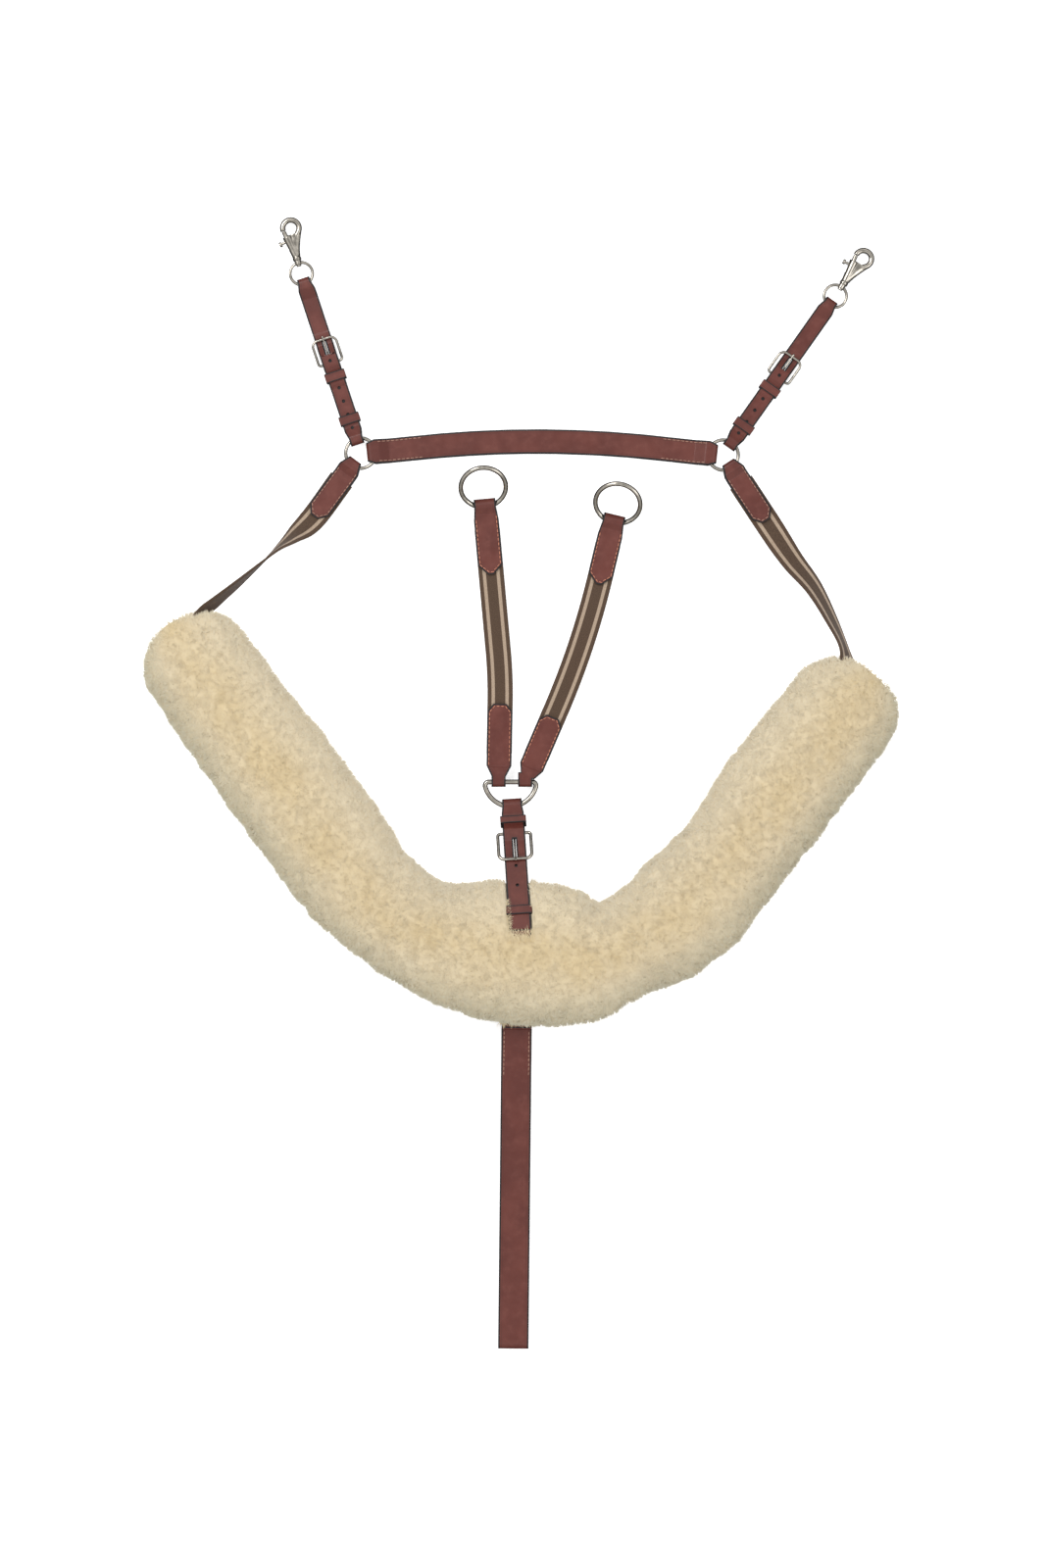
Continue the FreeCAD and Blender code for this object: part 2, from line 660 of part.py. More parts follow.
def make_sheepskin(line):
    length = line.length()
    middle = line_distance_to_ring(line)
    cap = [(share, TUBE_END_RADIUS * math.sqrt(1 - share ** 2)) for share in (0.97, 0.85, 0.65, 0.4, 0.2)]
    sections = [(0.0, -share * TUBE_END_RADIUS, half) for share, half in cap]
    for distance in section_distances(line):
        sections.append((distance, 0.0, tube_half_width(distance, middle, length)))
    sections += [(length, share * TUBE_END_RADIUS, half) for share, half in reversed(cap)]
    wires = []
    for distance, beyond, half in sections:
        x, y, heading = line.at(distance)
        x += beyond * math.cos(math.radians(heading))
        y += beyond * math.sin(math.radians(heading))
        height = TUBE_HALF_HEIGHT * min(1.0, half / TUBE_END_RADIUS)
        wires.append(ellipse_section(x, y, heading, half, height))
    outer = Part.makeLoft(wires, True, True)
    channel = flat(line.part(2, length - 2), 36.0, 25.0, 15.0)
    ring_room = Part.makeCylinder(27.0, 18.0, Vector(CENTRE_RING.x, CENTRE_RING.y, 22.0))
    left, right = line.at(0), line.at(length)
    left_mouth = box((left[0] - 14, left[1] - 8, 22.0), (left[0] + 20, left[1] + 90, 42.0))
    right_mouth = box((right[0] - 14, right[1] - 8, 22.0), (right[0] + 20, right[1] + 90, 42.0))
    fork_slot = box((-16.0, -146.0, 30.0), (9.0, -127.0, 80.0))
    girth_slot = box((-23.0, -240.0, 8.0), (13.0, -172.0, 39.0))
    half = FORK_WIDTH / 2 + KEEPER_THICK + 2 * FIT
    trough = box((52.0, -half, 1.0), (FORK_LENGTH + 6, half, 80.0))
    trough = fork_frame().place(trough)
    add("sheepskin", outer.cut([channel, ring_room, left_mouth, right_mouth, fork_slot, girth_slot, trough]))


def line_distance_to_ring(line):
    """How far along the tube its middle passes the centre ring."""
    best = min(range(0, int(line.length())), key=lambda s: abs(line.at(s)[0] - CENTRE_RING.x))
    return float(best)


def breast_strap(line, side):
    """From the tube's mouth to a fold round the centre ring."""
    middle = line_distance_to_ring(line)
    half = 8.0
    reach = loop_reach(CENTRE_RING_RADIUS, half)
    thick = BREAST_THICK
    fold = loop_pocket(CENTRE_RING_RADIUS, CENTRE_RING_WIRE, half) + thick / 2
    path = Path(28, STRAP_Z + thick + GAP, 180).to(14).step_to(STRAP_Z + fold).to(0)
    path.arc(fold, 180).to(2).step_to(STRAP_Z).to(40)
    x, y, heading = line.at(middle)
    if side == "left":
        frame = Frame(Vector(x, y, 0), heading + 180)
        band = line.part(4, middle - reach - 40)
        closure = line.part(30, middle - 75)
    else:
        frame = Frame(Vector(x, y, 0), heading)
        band = line.part(middle + reach + 40, line.length() - 4)
        closure = line.part(middle + 75, line.length() - 30)
    end = folded(path, thick, 2 * half)
    end.translate(Vector(reach, 0, 0))
    end = frame.place(end)
    strap = flat(band, BREAST_WIDTH, STRAP_Z - thick / 2, thick)
    add(side + "_breast_strap", strap.fuse(end).removeSplitter())
    return flat(closure, 20.0, STRAP_Z - thick / 2 - 1.6, 1.2)


def make_inner_pieces(line):
    add("centre_ring", ring(CENTRE_RING, CENTRE_RING_RADIUS, CENTRE_RING_WIRE))
    closures = [breast_strap(line, side) for side in ("left", "right")]
    add("closure_strips", Part.makeCompound(closures))

    slope = math.radians(FORK_SLOPE)
    thick, half, bend = FORK_THICK, 8.0, 3.5
    fold = loop_pocket(CENTRE_RING_RADIUS, CENTRE_RING_WIRE, half) + thick / 2
    frame, reach = frame_from_ring(fork_hinge(), half)
    path = Path(fold, CENTRE_RING.z + 14, -90).line(14).arc(fold, -180)
    past_bend = path.x + bend * (1 + math.sin(slope))
    rise = fork_hinge().z + (reach - past_bend) * math.tan(slope) - path.y - bend * math.cos(slope)
    path.line(rise).arc(bend, -90 - FORK_SLOPE).line((reach - past_bend) / math.cos(slope) + 3)
    anchor = folded(path, thick, FORK_WIDTH)
    narrow = box((-20, -half, 0), (40, half, 60))
    anchor = anchor.common(narrow.fuse(box((-20, -20, 45), (40, 20, 90))))
    beyond = fork_frame().place(box((FORK_LENGTH + thick / 2 + FIT, -40, -60), (FORK_LENGTH + 60, 40, 20)))
    add("fork_strap_anchor", frame.place(anchor).common(beyond))

    thick, half = GIRTH_THICK, 9.0
    fold = loop_pocket(CENTRE_RING_RADIUS, CENTRE_RING_WIRE, half) + thick / 2
    frame, reach = frame_from_ring(GIRTH_HINGE, half)
    path = Path(18, CENTRE_RING.z + fold, 180).to(0).arc(fold, 180).to(5)
    path.step_to(GIRTH_HINGE.z).to(reach + 5)
    outline = [(-8, half), (6, half), (16, 14.0), (90, 14.0)]
    anchor = folded(path, thick, GIRTH_WIDTH)
    anchor = anchor.common(prism(outline + [(u, -v) for u, v in reversed(outline)]))
    before = girth_frame.place(box((-100, -60, -10), (-thick / 2 - FIT, 60, 90)))
    add("girth_strap_anchor", frame.place(anchor).common(before))


def frame_from_ring(target, half):
    """A frame at the fold on the centre ring, aimed at a point, and the distance left to it."""
    heading = math.degrees(math.atan2(target.y - CENTRE_RING.y, target.x - CENTRE_RING.x))
    reach = loop_reach(CENTRE_RING_RADIUS, half)
    frame = Frame(Vector(CENTRE_RING.x, CENTRE_RING.y, 0), heading)
    far = math.hypot(target.x - CENTRE_RING.x, target.y - CENTRE_RING.y)
    return Frame(frame.point(reach), heading), far - reach


# ---- martingale fork -----------------------------------------------------------------------------
def d_ring_path():
    """The D ring's wire: the straight bar first, then the round side back to it."""
    path = Path(D_RING_X - D_RING_HALF_BAR, D_RING_BAR_Y, 0).line(2 * D_RING_HALF_BAR)
    path.arc(D_RING_CORNER, -D_RING_CORNER_TURN)
    path.arc(D_RING_ROUND, -360 + 2 * D_RING_CORNER_TURN)
    return path.arc(D_RING_CORNER, -D_RING_CORNER_TURN)


corner = math.radians(D_RING_CORNER_TURN)
D_RING_ROUND = D_RING_HALF_BAR / math.sin(corner) + D_RING_CORNER
D_RING_MIDDLE_Y = D_RING_BAR_Y - D_RING_CORNER + (D_RING_CORNER - D_RING_ROUND) * math.cos(corner)
FORK_FOLD_HALF = 9.0


def fork_ring_point():
    """Where the fork strap's fold axis crosses the round side of the D ring."""
    middle = Frame(Vector(D_RING_X, D_RING_MIDDLE_Y, ARM_Z), FORK_HEADING)
    return middle.point(loop_reach(D_RING_ROUND, FORK_FOLD_HALF))


fork_pocket = loop_pocket(D_RING_ROUND, D_RING_WIRE, FORK_FOLD_HALF)
FORK = Adjuster(FORK_THICK, FORK_WIDTH, fork_pocket, 1.5, FORK_HEEL, 26.5, 1.7, 3.4)


def fork_frame():
    tilted = Frame(fork_ring_point(), FORK_HEADING, FORK_SLOPE)
    return Frame(tilted.point(0, 0, -FORK.ring_z), FORK_HEADING, FORK_SLOPE)


def fork_hinge():
    """The fold where the fork strap goes into the wool."""
    return fork_frame().point(FORK_LENGTH, 0, FORK.under)


def make_fork_strap():
    frame = fork_frame()
    path = Path(FORK_HEEL - 9.2, FORK.second, 0)
    path.to(FORK_HEEL - 8.2).step_to(FORK.chape_top).to(FORK_HEEL)
    path.arc(FORK.bar_fit + FORK_THICK / 2, -180).to(0).arc(fork_pocket + FORK_THICK / 2, -180)
    path.to(1).step_to(FORK.third).to(FORK_HEEL - 8.5).step_to(FORK.over)
    path.to(FORK_HEEL + 9).step_to(FORK.under).to(FORK_LENGTH)
    strap = folded(path, FORK_THICK, FORK_WIDTH)
    nose = Part.makeCylinder(FORK_THICK / 2, FORK_WIDTH, Vector(0, 0, 0), Vector(0, 1, 0))
    nose.translate(Vector(FORK_LENGTH, -FORK_WIDTH / 2, FORK.under))
    half = FORK_WIDTH / 2
    outline = [(-8, FORK_FOLD_HALF), (3, FORK_FOLD_HALF), (9, half), (FORK_LENGTH + 5, half)]
    strap = strap.fuse(nose).common(prism(outline + [(u, -v) for u, v in reversed(outline)]))
    holes = [Part.makeCylinder(HOLE_RADIUS, 20, Vector(at, 0, 0)) for at in FORK_HOLES]
    strap = FORK.clear_tongue(strap.cut(holes))
    low = FORK.low - FORK_THICK / 2
    add("fork_strap", frame.place(strap))
    add("fork_buckle", frame.place(FORK.buckle()))
    add("fork_tongue", frame.place(FORK.tongue()))
    add("fork_fixed_keeper", frame.place(keeper(FORK_HEEL - 12.5, half, low, FORK.third + 1.2, 7.0)))
    single = (FORK.under - FORK_THICK / 2, FORK.under + FORK_THICK / 2)
    add("fork_sliding_keeper", frame.place(keeper(FORK_KEEPER_AT, half, *single)))


ARMS = {
    "left": (LEFT_ARM_X, Path(LEFT_ARM_X, D_RING_BAR_Y, 88.9).line(72).arc(450, 6.3).line(134)),
    "right": (RIGHT_ARM_X, Path(RIGHT_ARM_X, D_RING_BAR_Y, 66.8).line(74).arc(745, 9.8).line(53)),
}
arm_pocket = loop_pocket(MARTINGALE_RADIUS, MARTINGALE_WIRE, ARM_LOOP_WIDTH / 2)
bar_pocket = D_RING_WIRE + FIT


def arm_end_frame(side):
    """The frame of the fold on the martingale ring: u runs back down the arm."""
    path = ARMS[side][1]
    return Frame(Vector(path.x, path.y, 0), path.heading + 180)


def martingale_ring_centre(side):
    frame = arm_end_frame(side)
    return frame.point(-loop_reach(MARTINGALE_RADIUS, ARM_LOOP_WIDTH / 2), 0, ARM_Z)


def make_arm(side):
    """Lower tab on the D ring's bar, elastic, upper tab on the martingale ring."""
    bar_x, path = ARMS[side]
    thick = TAB_THICK
    spread = ELASTIC_THICK / 2 + GAP / 2 + thick / 2
    lower_tip, upper_tip = (72.0, 64.0) if side == "left" else (65.0, 60.0)
    lower_frame = Frame(Vector(bar_x, D_RING_BAR_Y, 0), path.moves[0][2])
    reach = bar_pocket + thick / 2
    loop = folded(Path(9, ARM_Z - reach, 180).to(0).arc(reach, -180).to(9), thick, BAR_LOOP_WIDTH)
    loop = Frame(Vector(bar_x, D_RING_BAR_Y, 0), 90).place(loop)
    top = Path(5.0, ARM_Z + reach, 0).to(11).step_to(ARM_Z + spread).to(lower_tip)
    bottom = Path(5.0, ARM_Z - reach, 0).to(11).step_to(ARM_Z - spread).to(lower_tip - 3)
    half = ARM_TAB_WIDTH / 2
    outline = tab_outline(lower_tip, half, 4.0, 6.0, 15.0, 7, 6.0)
    layers = [folded(run, thick, ARM_TAB_WIDTH).common(prism(outline)) for run in (top, bottom)]
    lower = loop.fuse([lower_frame.place(layer) for layer in layers]).removeSplitter()
    add(side + "_lower_tab", lower)

    upper_frame = arm_end_frame(side)
    reach = arm_pocket + thick / 2
    run = Path(upper_tip - 3, ARM_Z - spread, 180).to(13).step_to(ARM_Z - reach).to(0)
    run.arc(reach, -180).to(1).step_to(ARM_Z + spread).to(upper_tip)
    upper = folded(run, thick, ARM_TAB_WIDTH)
    outline = tab_outline(upper_tip, half, -8, ARM_LOOP_WIDTH / 2, 14, 9, 2.5)
    outline = [(2, ARM_LOOP_WIDTH / 2)] + outline[1:-1] + [(2, -ARM_LOOP_WIDTH / 2)]
    outline = [(-8, ARM_LOOP_WIDTH / 2)] + outline + [(-8, -ARM_LOOP_WIDTH / 2)]
    add(side + "_upper_tab", upper_frame.place(upper.common(prism(outline))))

    webbing = path.part(26, path.length() - 22)
    add(side + "_arm_elastic", flat(webbing, ELASTIC_WIDTH - 1, ARM_Z - ELASTIC_THICK / 2, ELASTIC_THICK))
    tilt_axis = upper_frame.direction(0, 1)
    hinge = upper_frame.point(0, 0, ARM_Z)
    centre = martingale_ring_centre(side)
    rein_ring = ring(centre, MARTINGALE_RADIUS, MARTINGALE_WIRE, tilt_axis, MARTINGALE_TILT, hinge)
    add(side + "_martingale_ring", rein_ring)


# ---- girth strap ---------------------------------------------------------------------------------
GIRTH_BAR = 1.5
girth_frame = Frame(Vector(GIRTH_HINGE.x, GIRTH_HINGE.y, 0), GIRTH_HEADING)


class GirthLevels:
    """Heights in the girth strap's loop, from the strap on top down to the billet under it."""

    top = GIRTH_HINGE.z
    billet = top - 2 * GIRTH_FOLD
    chape_thick = 2.2
    chape_high = top - GIRTH_THICK / 2 - GAP - chape_thick / 2
    bar = chape_high - chape_thick / 2 - GIRTH_BAR - GAP
    chape_low = 2 * bar - chape_high
    front = bar - 1.8
    over_front = front + GIRTH_BAR + 0.6 + GIRTH_THICK / 2


def make_girth_strap():
    levels = GirthLevels
    thick = GIRTH_THICK
    fold_at = GIRTH_LENGTH - GIRTH_FOLD - thick / 2
    path = Path(0, levels.top, 0).to(fold_at).arc(GIRTH_FOLD, -180).to(GIRTH_HEEL + 46)
    path.step_to(levels.over_front).to(GIRTH_HEEL + 24).step_to(levels.billet).to(GIRTH_HEEL - 34)
    strap = folded(path, thick, GIRTH_WIDTH)
    nose = Part.makeCylinder(thick / 2, GIRTH_WIDTH, Vector(0, 0, 0), Vector(0, 1, 0))
    nose.translate(Vector(0, -GIRTH_WIDTH / 2, levels.top))
    pin_slot = box((GIRTH_HEEL + 9, -1.6, 0), (GIRTH_HEEL + 22, 1.6, levels.top - thick / 2 - 0.1))
    cuts = [pin_slot]
    for number in range(4):
        at = GIRTH_HEEL + 60 + 25 * number
        cuts.append(Part.makeCylinder(2.0, 6, Vector(at, 0, 0)))
    for side in (-1, 1):
        middle = side * (GIRTH_BILLET_WIDTH / 2 + 10)
        low, high = (GIRTH_HEEL - 40, middle - 10, 0), (fold_at - 25, middle + 10, levels.top - thick / 2)
        cuts.append(box(low, high))
    add("girth_strap", girth_frame.place(strap.fuse(nose).cut(cuts)))

    chape = Path(8, levels.chape_high, 0).to(GIRTH_HEEL)
    chape.arc((levels.chape_high - levels.chape_low) / 2, -180).to(GIRTH_HEEL - 20)
    chape = folded(chape, levels.chape_thick, GIRTH_BILLET_WIDTH)
    eye_slot = box((GIRTH_HEEL - 5, -1.4, 0), (GIRTH_HEEL + 8, 1.4, 30))
    add("girth_chape", girth_frame.place(chape.cut(eye_slot)))

    flip = Adjuster(thick, GIRTH_BILLET_WIDTH, 3.0, GIRTH_BAR, 0.0, 27.0, 0.0, 1.4)
    flip.bar_z, flip.front_z = 0.0, 1.8
    over = FreeCAD.Placement(
        Vector(GIRTH_HEEL, 0, levels.bar), FreeCAD.Rotation(Vector(1, 0, 0), 180)
    )
    for name, shape in (("girth_buckle", flip.buckle()), ("girth_tongue", flip.tongue())):
        turned = shape.copy()
        turned.Placement = over.multiply(turned.Placement)
        add(name, girth_frame.place(turned))
    low, high = levels.billet - thick / 2, levels.chape_low + levels.chape_thick / 2
    add("girth_keeper", girth_frame.place(keeper(GIRTH_HEEL - 14, GIRTH_BILLET_WIDTH / 2, low, high)))


# ---- build and write -----------------------------------------------------------------------------
def build():
    for side in ("left", "right"):
        make_saddle_strap(side)
        make_snap(side)
        make_arm(side)
    make_wither_strap()
    line = tube_line()
    mouth = line.at(0)
    left_points = [
        (Vector(-228.0, 213.0, 15.0), 221.0, 82.0),
        (Vector(-268.0, 180.0, 29.0), 222.0, 172.0),
        (Vector(-276.0, 173.0, 30.0), 226.0, 180.0),
        (NECK_FOLD[0], 240.0, 180.0),
        (Vector(mouth[0] + 3, 148.0, 30.0), 270.0, 180.0),
        (Vector(mouth[0] + 3, 128.0, 33.6), 270.0, 180.0),
        (Vector(mouth[0] + 3, 100.0, 33.6), 270.0, 180.0),
    ]
    mouth = line.at(line.length())
    right_points = [
        (Vector(247.0, 207.0, 12.0), -58.0, -22.0),
        (Vector(268.0, 174.0, 22.0), -60.0, -38.0),
        (Vector(285.0, 143.0, 29.0), -62.0, -6.0),
        (Vector(288.0, 137.0, 30.0), -62.0, 0.0),
        (NECK_FOLD[1], -66.0, 0.0),
        (Vector(mouth[0] + 4, 106.0, 30.0), -90.0, 0.0),
        (Vector(mouth[0] + 4, 88.0, 33.6), -90.0, 0.0),
        (Vector(mouth[0] + 4, 62.0, 33.6), -90.0, 0.0),
    ]
    make_shoulder("left", LEFT_TAB_HEADING, left_points)
    make_shoulder("right", RIGHT_TAB_HEADING, right_points)
    make_sheepskin(line)
    make_inner_pieces(line)
    add("d_ring", rod(d_ring_path(), D_RING_WIRE, ARM_Z))
    make_fork_strap()
    make_girth_strap()


build()
os.makedirs("parts", exist_ok=True)
for name, shape in nodes.items():
    shape.exportStep("parts/" + name + ".step")
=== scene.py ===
import json
import math

import bmesh
import bpy
import numpy as np
from mathutils import Matrix, Vector
from mathutils.bvhtree import BVHTree


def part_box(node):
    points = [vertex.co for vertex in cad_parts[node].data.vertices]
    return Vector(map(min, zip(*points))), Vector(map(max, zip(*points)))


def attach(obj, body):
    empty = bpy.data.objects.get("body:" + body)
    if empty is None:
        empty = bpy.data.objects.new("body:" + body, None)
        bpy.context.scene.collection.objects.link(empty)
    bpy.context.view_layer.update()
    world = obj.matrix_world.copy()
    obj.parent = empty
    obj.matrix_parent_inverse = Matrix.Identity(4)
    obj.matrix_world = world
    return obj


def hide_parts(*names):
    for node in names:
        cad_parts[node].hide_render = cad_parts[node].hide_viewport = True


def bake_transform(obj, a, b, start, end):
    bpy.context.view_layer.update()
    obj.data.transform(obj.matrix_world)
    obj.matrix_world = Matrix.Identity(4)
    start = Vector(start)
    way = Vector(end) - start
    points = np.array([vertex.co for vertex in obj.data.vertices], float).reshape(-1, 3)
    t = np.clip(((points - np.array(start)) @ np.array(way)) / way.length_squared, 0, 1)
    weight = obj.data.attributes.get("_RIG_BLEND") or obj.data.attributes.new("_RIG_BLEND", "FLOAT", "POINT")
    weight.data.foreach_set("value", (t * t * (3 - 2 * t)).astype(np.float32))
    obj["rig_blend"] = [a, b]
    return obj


# Looks of a leather and sheepskin breastplate, built round its CAD frame.
# Lengths are in metres in the part's frame, and the named lengths below are in millimetres.

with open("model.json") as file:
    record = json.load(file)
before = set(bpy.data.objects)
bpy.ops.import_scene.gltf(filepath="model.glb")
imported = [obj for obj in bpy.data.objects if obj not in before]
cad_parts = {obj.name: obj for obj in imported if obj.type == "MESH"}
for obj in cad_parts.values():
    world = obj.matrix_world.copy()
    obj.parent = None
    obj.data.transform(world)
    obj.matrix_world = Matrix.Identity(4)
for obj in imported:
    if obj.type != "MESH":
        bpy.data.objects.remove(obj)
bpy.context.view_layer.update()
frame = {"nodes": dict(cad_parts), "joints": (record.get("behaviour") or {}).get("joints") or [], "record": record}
NODES = frame["nodes"]
JOINTS = {j["name"]: j for j in frame["joints"]}
BODIES = frame["record"]["behaviour"]["bodies"]
BODY_OF = {node: body for body, members in BODIES.items() for node in members}
MM = 0.001
UP = Vector((0, 0, 1))
rng = np.random.default_rng(11)

# leather: how thick each strap is, then its rounded arrises, the creased line, the widest hole, the
# largest radius of a punched hole, the stitches, and half the girth strap's section where it bends
SADDLE_THICK = 2.0
TAB_THICK = 2.0
WITHER_THICK = 2.2
CHAPE_THICK = 2.2
FORK_THICK = 2.4
GIRTH_THICK = 3.0
KEEPER_THICK = 1.3
ARRIS = 0.35
CREASE_WIDTH = 0.5
LARGEST_HOLE = 12.0
PUNCH_RADIUS = 2.0
STITCH_RADIUS = 0.42
GIRTH_HALF = 13.7
GIRTH_BRIDGE_HALF_THICK = 1.2

# webbing: width and thickness, how far a shoulder tab reaches, and the height the arms lie at
SHOULDER_WEB = (24.0, 2.2)
SHOULDER_TIP = 72.5
ARM_WEB = (23.4, 1.5)
ARM_HEIGHT = 6.5

# fleece: half its height, the pile's depth, and the length and power of its rounded ends
HALF_HEIGHT = 32.0
PILE_DEPTH = 3.0
END = 55.0
CAP_SQUARENESS = 2.35

# fleece at the fork strap: the dent it lies in, and the part of it that carries no wool
DENT_HALF = 12.6
DENT_START = 50
DENT_END = 126.5
DENT_DEPTH = 8.0
BARE_HALF = 11.6
BARE_END = 130

# wool: how far it reaches below the widest line (radians), its meshes, a fibre's corners, and counts
SKIRT_ANGLE = 0.55
PILE_PIECES = 6
BLADE_CORNERS = 5
FIBRES = 110000


# ---- materials -----------------------------------------------------------------------------------
class Shader:
    """A small writer of node materials: every call adds one node and links what it is given."""

    def __init__(self, name):
        self.material = bpy.data.materials.new(name)
        self.material.use_nodes = True
        self.tree = self.material.node_tree
        self.surface = self.tree.nodes["Principled BSDF"]
        self.coordinates = self.tree.nodes.new("ShaderNodeTexCoord").outputs["Object"]

    def put(self, socket, value):
        if isinstance(value, bpy.types.NodeSocket):
            self.tree.links.new(value, socket)
        else:
            socket.default_value = value

    def attribute(self, name, output="Fac"):
        node = self.tree.nodes.new("ShaderNodeAttribute")
        node.attribute_name = name
        return node.outputs[output]

    def math(self, operation, a, b=0.0):
        node = self.tree.nodes.new("ShaderNodeMath")
        node.operation = operation
        for socket, value in zip(node.inputs, (a, b)):
            self.put(socket, value)
        return node.outputs[0]

    def noise(self, scale, detail=3.0):
        node = self.tree.nodes.new("ShaderNodeTexNoise")
        node.inputs["Scale"].default_value = scale
        node.inputs["Detail"].default_value = detail
        node.inputs["Roughness"].default_value = 0.55
        self.put(node.inputs["Vector"], self.coordinates)
        return node.outputs["Fac"]

    def cells(self, scale):
        node = self.tree.nodes.new("ShaderNodeTexVoronoi")
        node.inputs["Scale"].default_value = scale
        self.put(node.inputs["Vector"], self.coordinates)
        return node.outputs["Distance"]

    def ramp(self, value, low, high, out_low=0.0, out_high=1.0):
        node = self.tree.nodes.new("ShaderNodeMapRange")
        node.interpolation_type = "SMOOTHSTEP"
        for socket, item in zip(node.inputs[:5], (value, low, high, out_low, out_high)):
            self.put(socket, item)
        return node.outputs[0]

    def mix(self, factor, a, b):
        node = self.tree.nodes.new("ShaderNodeMix")
        node.data_type = "RGBA"
        self.put(node.inputs[0], factor)
        self.put(node.inputs[6], a)
        self.put(node.inputs[7], b)
        return node.outputs[2]

    def bump(self, height, strength, distance):
        node = self.tree.nodes.new("ShaderNodeBump")
        node.inputs["Strength"].default_value = strength
        node.inputs["Distance"].default_value = distance
        self.put(node.inputs["Height"], height)
        self.put(self.surface.inputs["Normal"], node.outputs[0])

    def set(self, **values):
        for name, value in values.items():
            self.put(self.surface.inputs[name.replace("_", " ")], value)
        return self


def colour(red, green, blue):
    """Linear colour from display values of 0 to 255."""
    linear = []
    for value in (red, green, blue):
        share = value / 255
        linear.append(share / 12.92 if share <= 0.04045 else ((share + 0.055) / 1.055) ** 2.4)
    return (*linear, 1.0)


def make_leather():
    """Havana bridle leather: waxed face, pores, rubbed high spots and black painted edges; the same black is
    painted shade inside punched holes.
    """
    s = Shader("havana_leather")
    tone = s.noise(35.0, 4.0)
    blotch = s.noise(140.0, 3.0)
    pores = s.cells(1500.0)
    grain = s.noise(900.0, 3.0)
    face = s.mix(s.ramp(tone, 0.35, 0.68), colour(86, 40, 33), colour(98, 49, 41))
    face = s.mix(s.ramp(blotch, 0.5, 0.8, 0.0, 0.35), face, colour(110, 62, 53))
    face = s.mix(s.ramp(pores, 0.0, 0.25, 0.35, 0.0), face, colour(70, 38, 32))
    face = s.mix(s.math("MULTIPLY", s.attribute("crease"), 0.45), face, colour(62, 34, 29))
    # Near-black edge paint; through the same mask it is also painted shade on hole walls and on the discs inside
    # small holes.
    edge_paint_and_hole_shade = s.mix(s.ramp(grain, 0.4, 0.7), colour(22, 17, 18), colour(38, 31, 31))
    rough = s.ramp(blotch, 0.3, 0.7, 0.36, 0.52)
    s.set(Base_Color=s.mix(s.attribute("cut"), face, edge_paint_and_hole_shade), Roughness=rough)
    s.set(Specular_IOR_Level=0.28, Coat_Weight=0.15, Coat_Roughness=0.18)
    height = s.math("ADD", s.math("MULTIPLY", pores, 0.5), s.math("MULTIPLY", grain, 0.5))
    height = s.math("SUBTRACT", height, s.math("MULTIPLY", s.attribute("crease"), 1.5))
    s.bump(height, 0.35, 0.00025)
    return s.material


def make_nickel():
    """Nickel plate with fine rubbing marks and duller hollows."""
    s = Shader("nickel_plate")
    smear = s.noise(220.0, 5.0)
    scratch = s.noise(2600.0, 2.0)
    tint = s.mix(s.ramp(smear, 0.35, 0.7), colour(150, 145, 136), colour(178, 172, 162))
    rough = s.math("ADD", s.ramp(smear, 0.3, 0.75, 0.12, 0.24), s.ramp(scratch, 0.5, 0.8, 0.0, 0.08))
    s.set(Base_Color=tint, Metallic=1.0, Roughness=rough)
    s.bump(scratch, 0.08, 0.0001)
    return s.material


def make_webbing():
    """Woven elastic: brown with two tan stripes, ribs across it and fine rubber lines along it."""
    s = Shader("striped_elastic")
    across, along = s.attribute("across"), s.attribute("along")
    away = s.math("ABSOLUTE", across)
    stripe = s.math("MULTIPLY", s.ramp(away, 0.40, 0.43), s.ramp(away, 0.66, 0.69, 1.0, 0.0))
    stripe = s.math("MULTIPLY", stripe, s.attribute("front"))
    weft = s.math("SINE", s.math("MULTIPLY", along, 5200.0))
    warp = s.math("SINE", s.math("MULTIPLY", across, 62.0))
    speck = s.noise(1800.0, 2.0)
    brown = s.mix(s.ramp(speck, 0.35, 0.65), colour(64, 48, 36), colour(90, 71, 56))
    tan = s.mix(s.ramp(speck, 0.35, 0.65), colour(150, 130, 110), colour(182, 162, 142))
    woven = s.mix(stripe, brown, tan)
    shade = s.ramp(s.math("MULTIPLY", weft, warp), -1.0, 1.0, 0.0, 0.22)
    s.set(Base_Color=s.mix(shade, woven, colour(58, 44, 34)), Roughness=0.82)
    s.set(Specular_IOR_Level=0.25, Sheen_Weight=0.15)
    s.bump(s.math("ADD", weft, s.math("MULTIPLY", warp, 0.6)), 0.3, 0.0002)
    return s.material


def make_fleece(name):
    """Wool, coloured from root to tip by an attribute that the fibres carry, which holds painted shade at the
    roots and painted light down the middle.
    """
    s = Shader(name)
    tone = s.attribute("wool", "Color")
    speck = s.noise(700.0, 2.0)
    s.set(Base_Color=s.mix(s.ramp(speck, 0.3, 0.7, 0.0, 0.10), tone, colour(194, 174, 136)))
    s.set(Roughness=0.95, Specular_IOR_Level=0.05)
    return s.material


def make_thread(name, light, dark):
    """Waxed thread, mottled as if twisted."""
    s = Shader(name)
    twist = s.noise(1400.0, 2.0)
    s.set(Base_Color=s.mix(s.ramp(twist, 0.35, 0.65), dark, light), Roughness=0.7)
    s.bump(twist, 0.3, 0.0002)
    return s.material


def make_plain(name, light, dark, roughness):
    """A simple material that varies softly between two colours."""
    s = Shader(name)
    s.set(Base_Color=s.mix(s.ramp(s.noise(300.0), 0.35, 0.65), dark, light), Roughness=roughness)
    return s.material


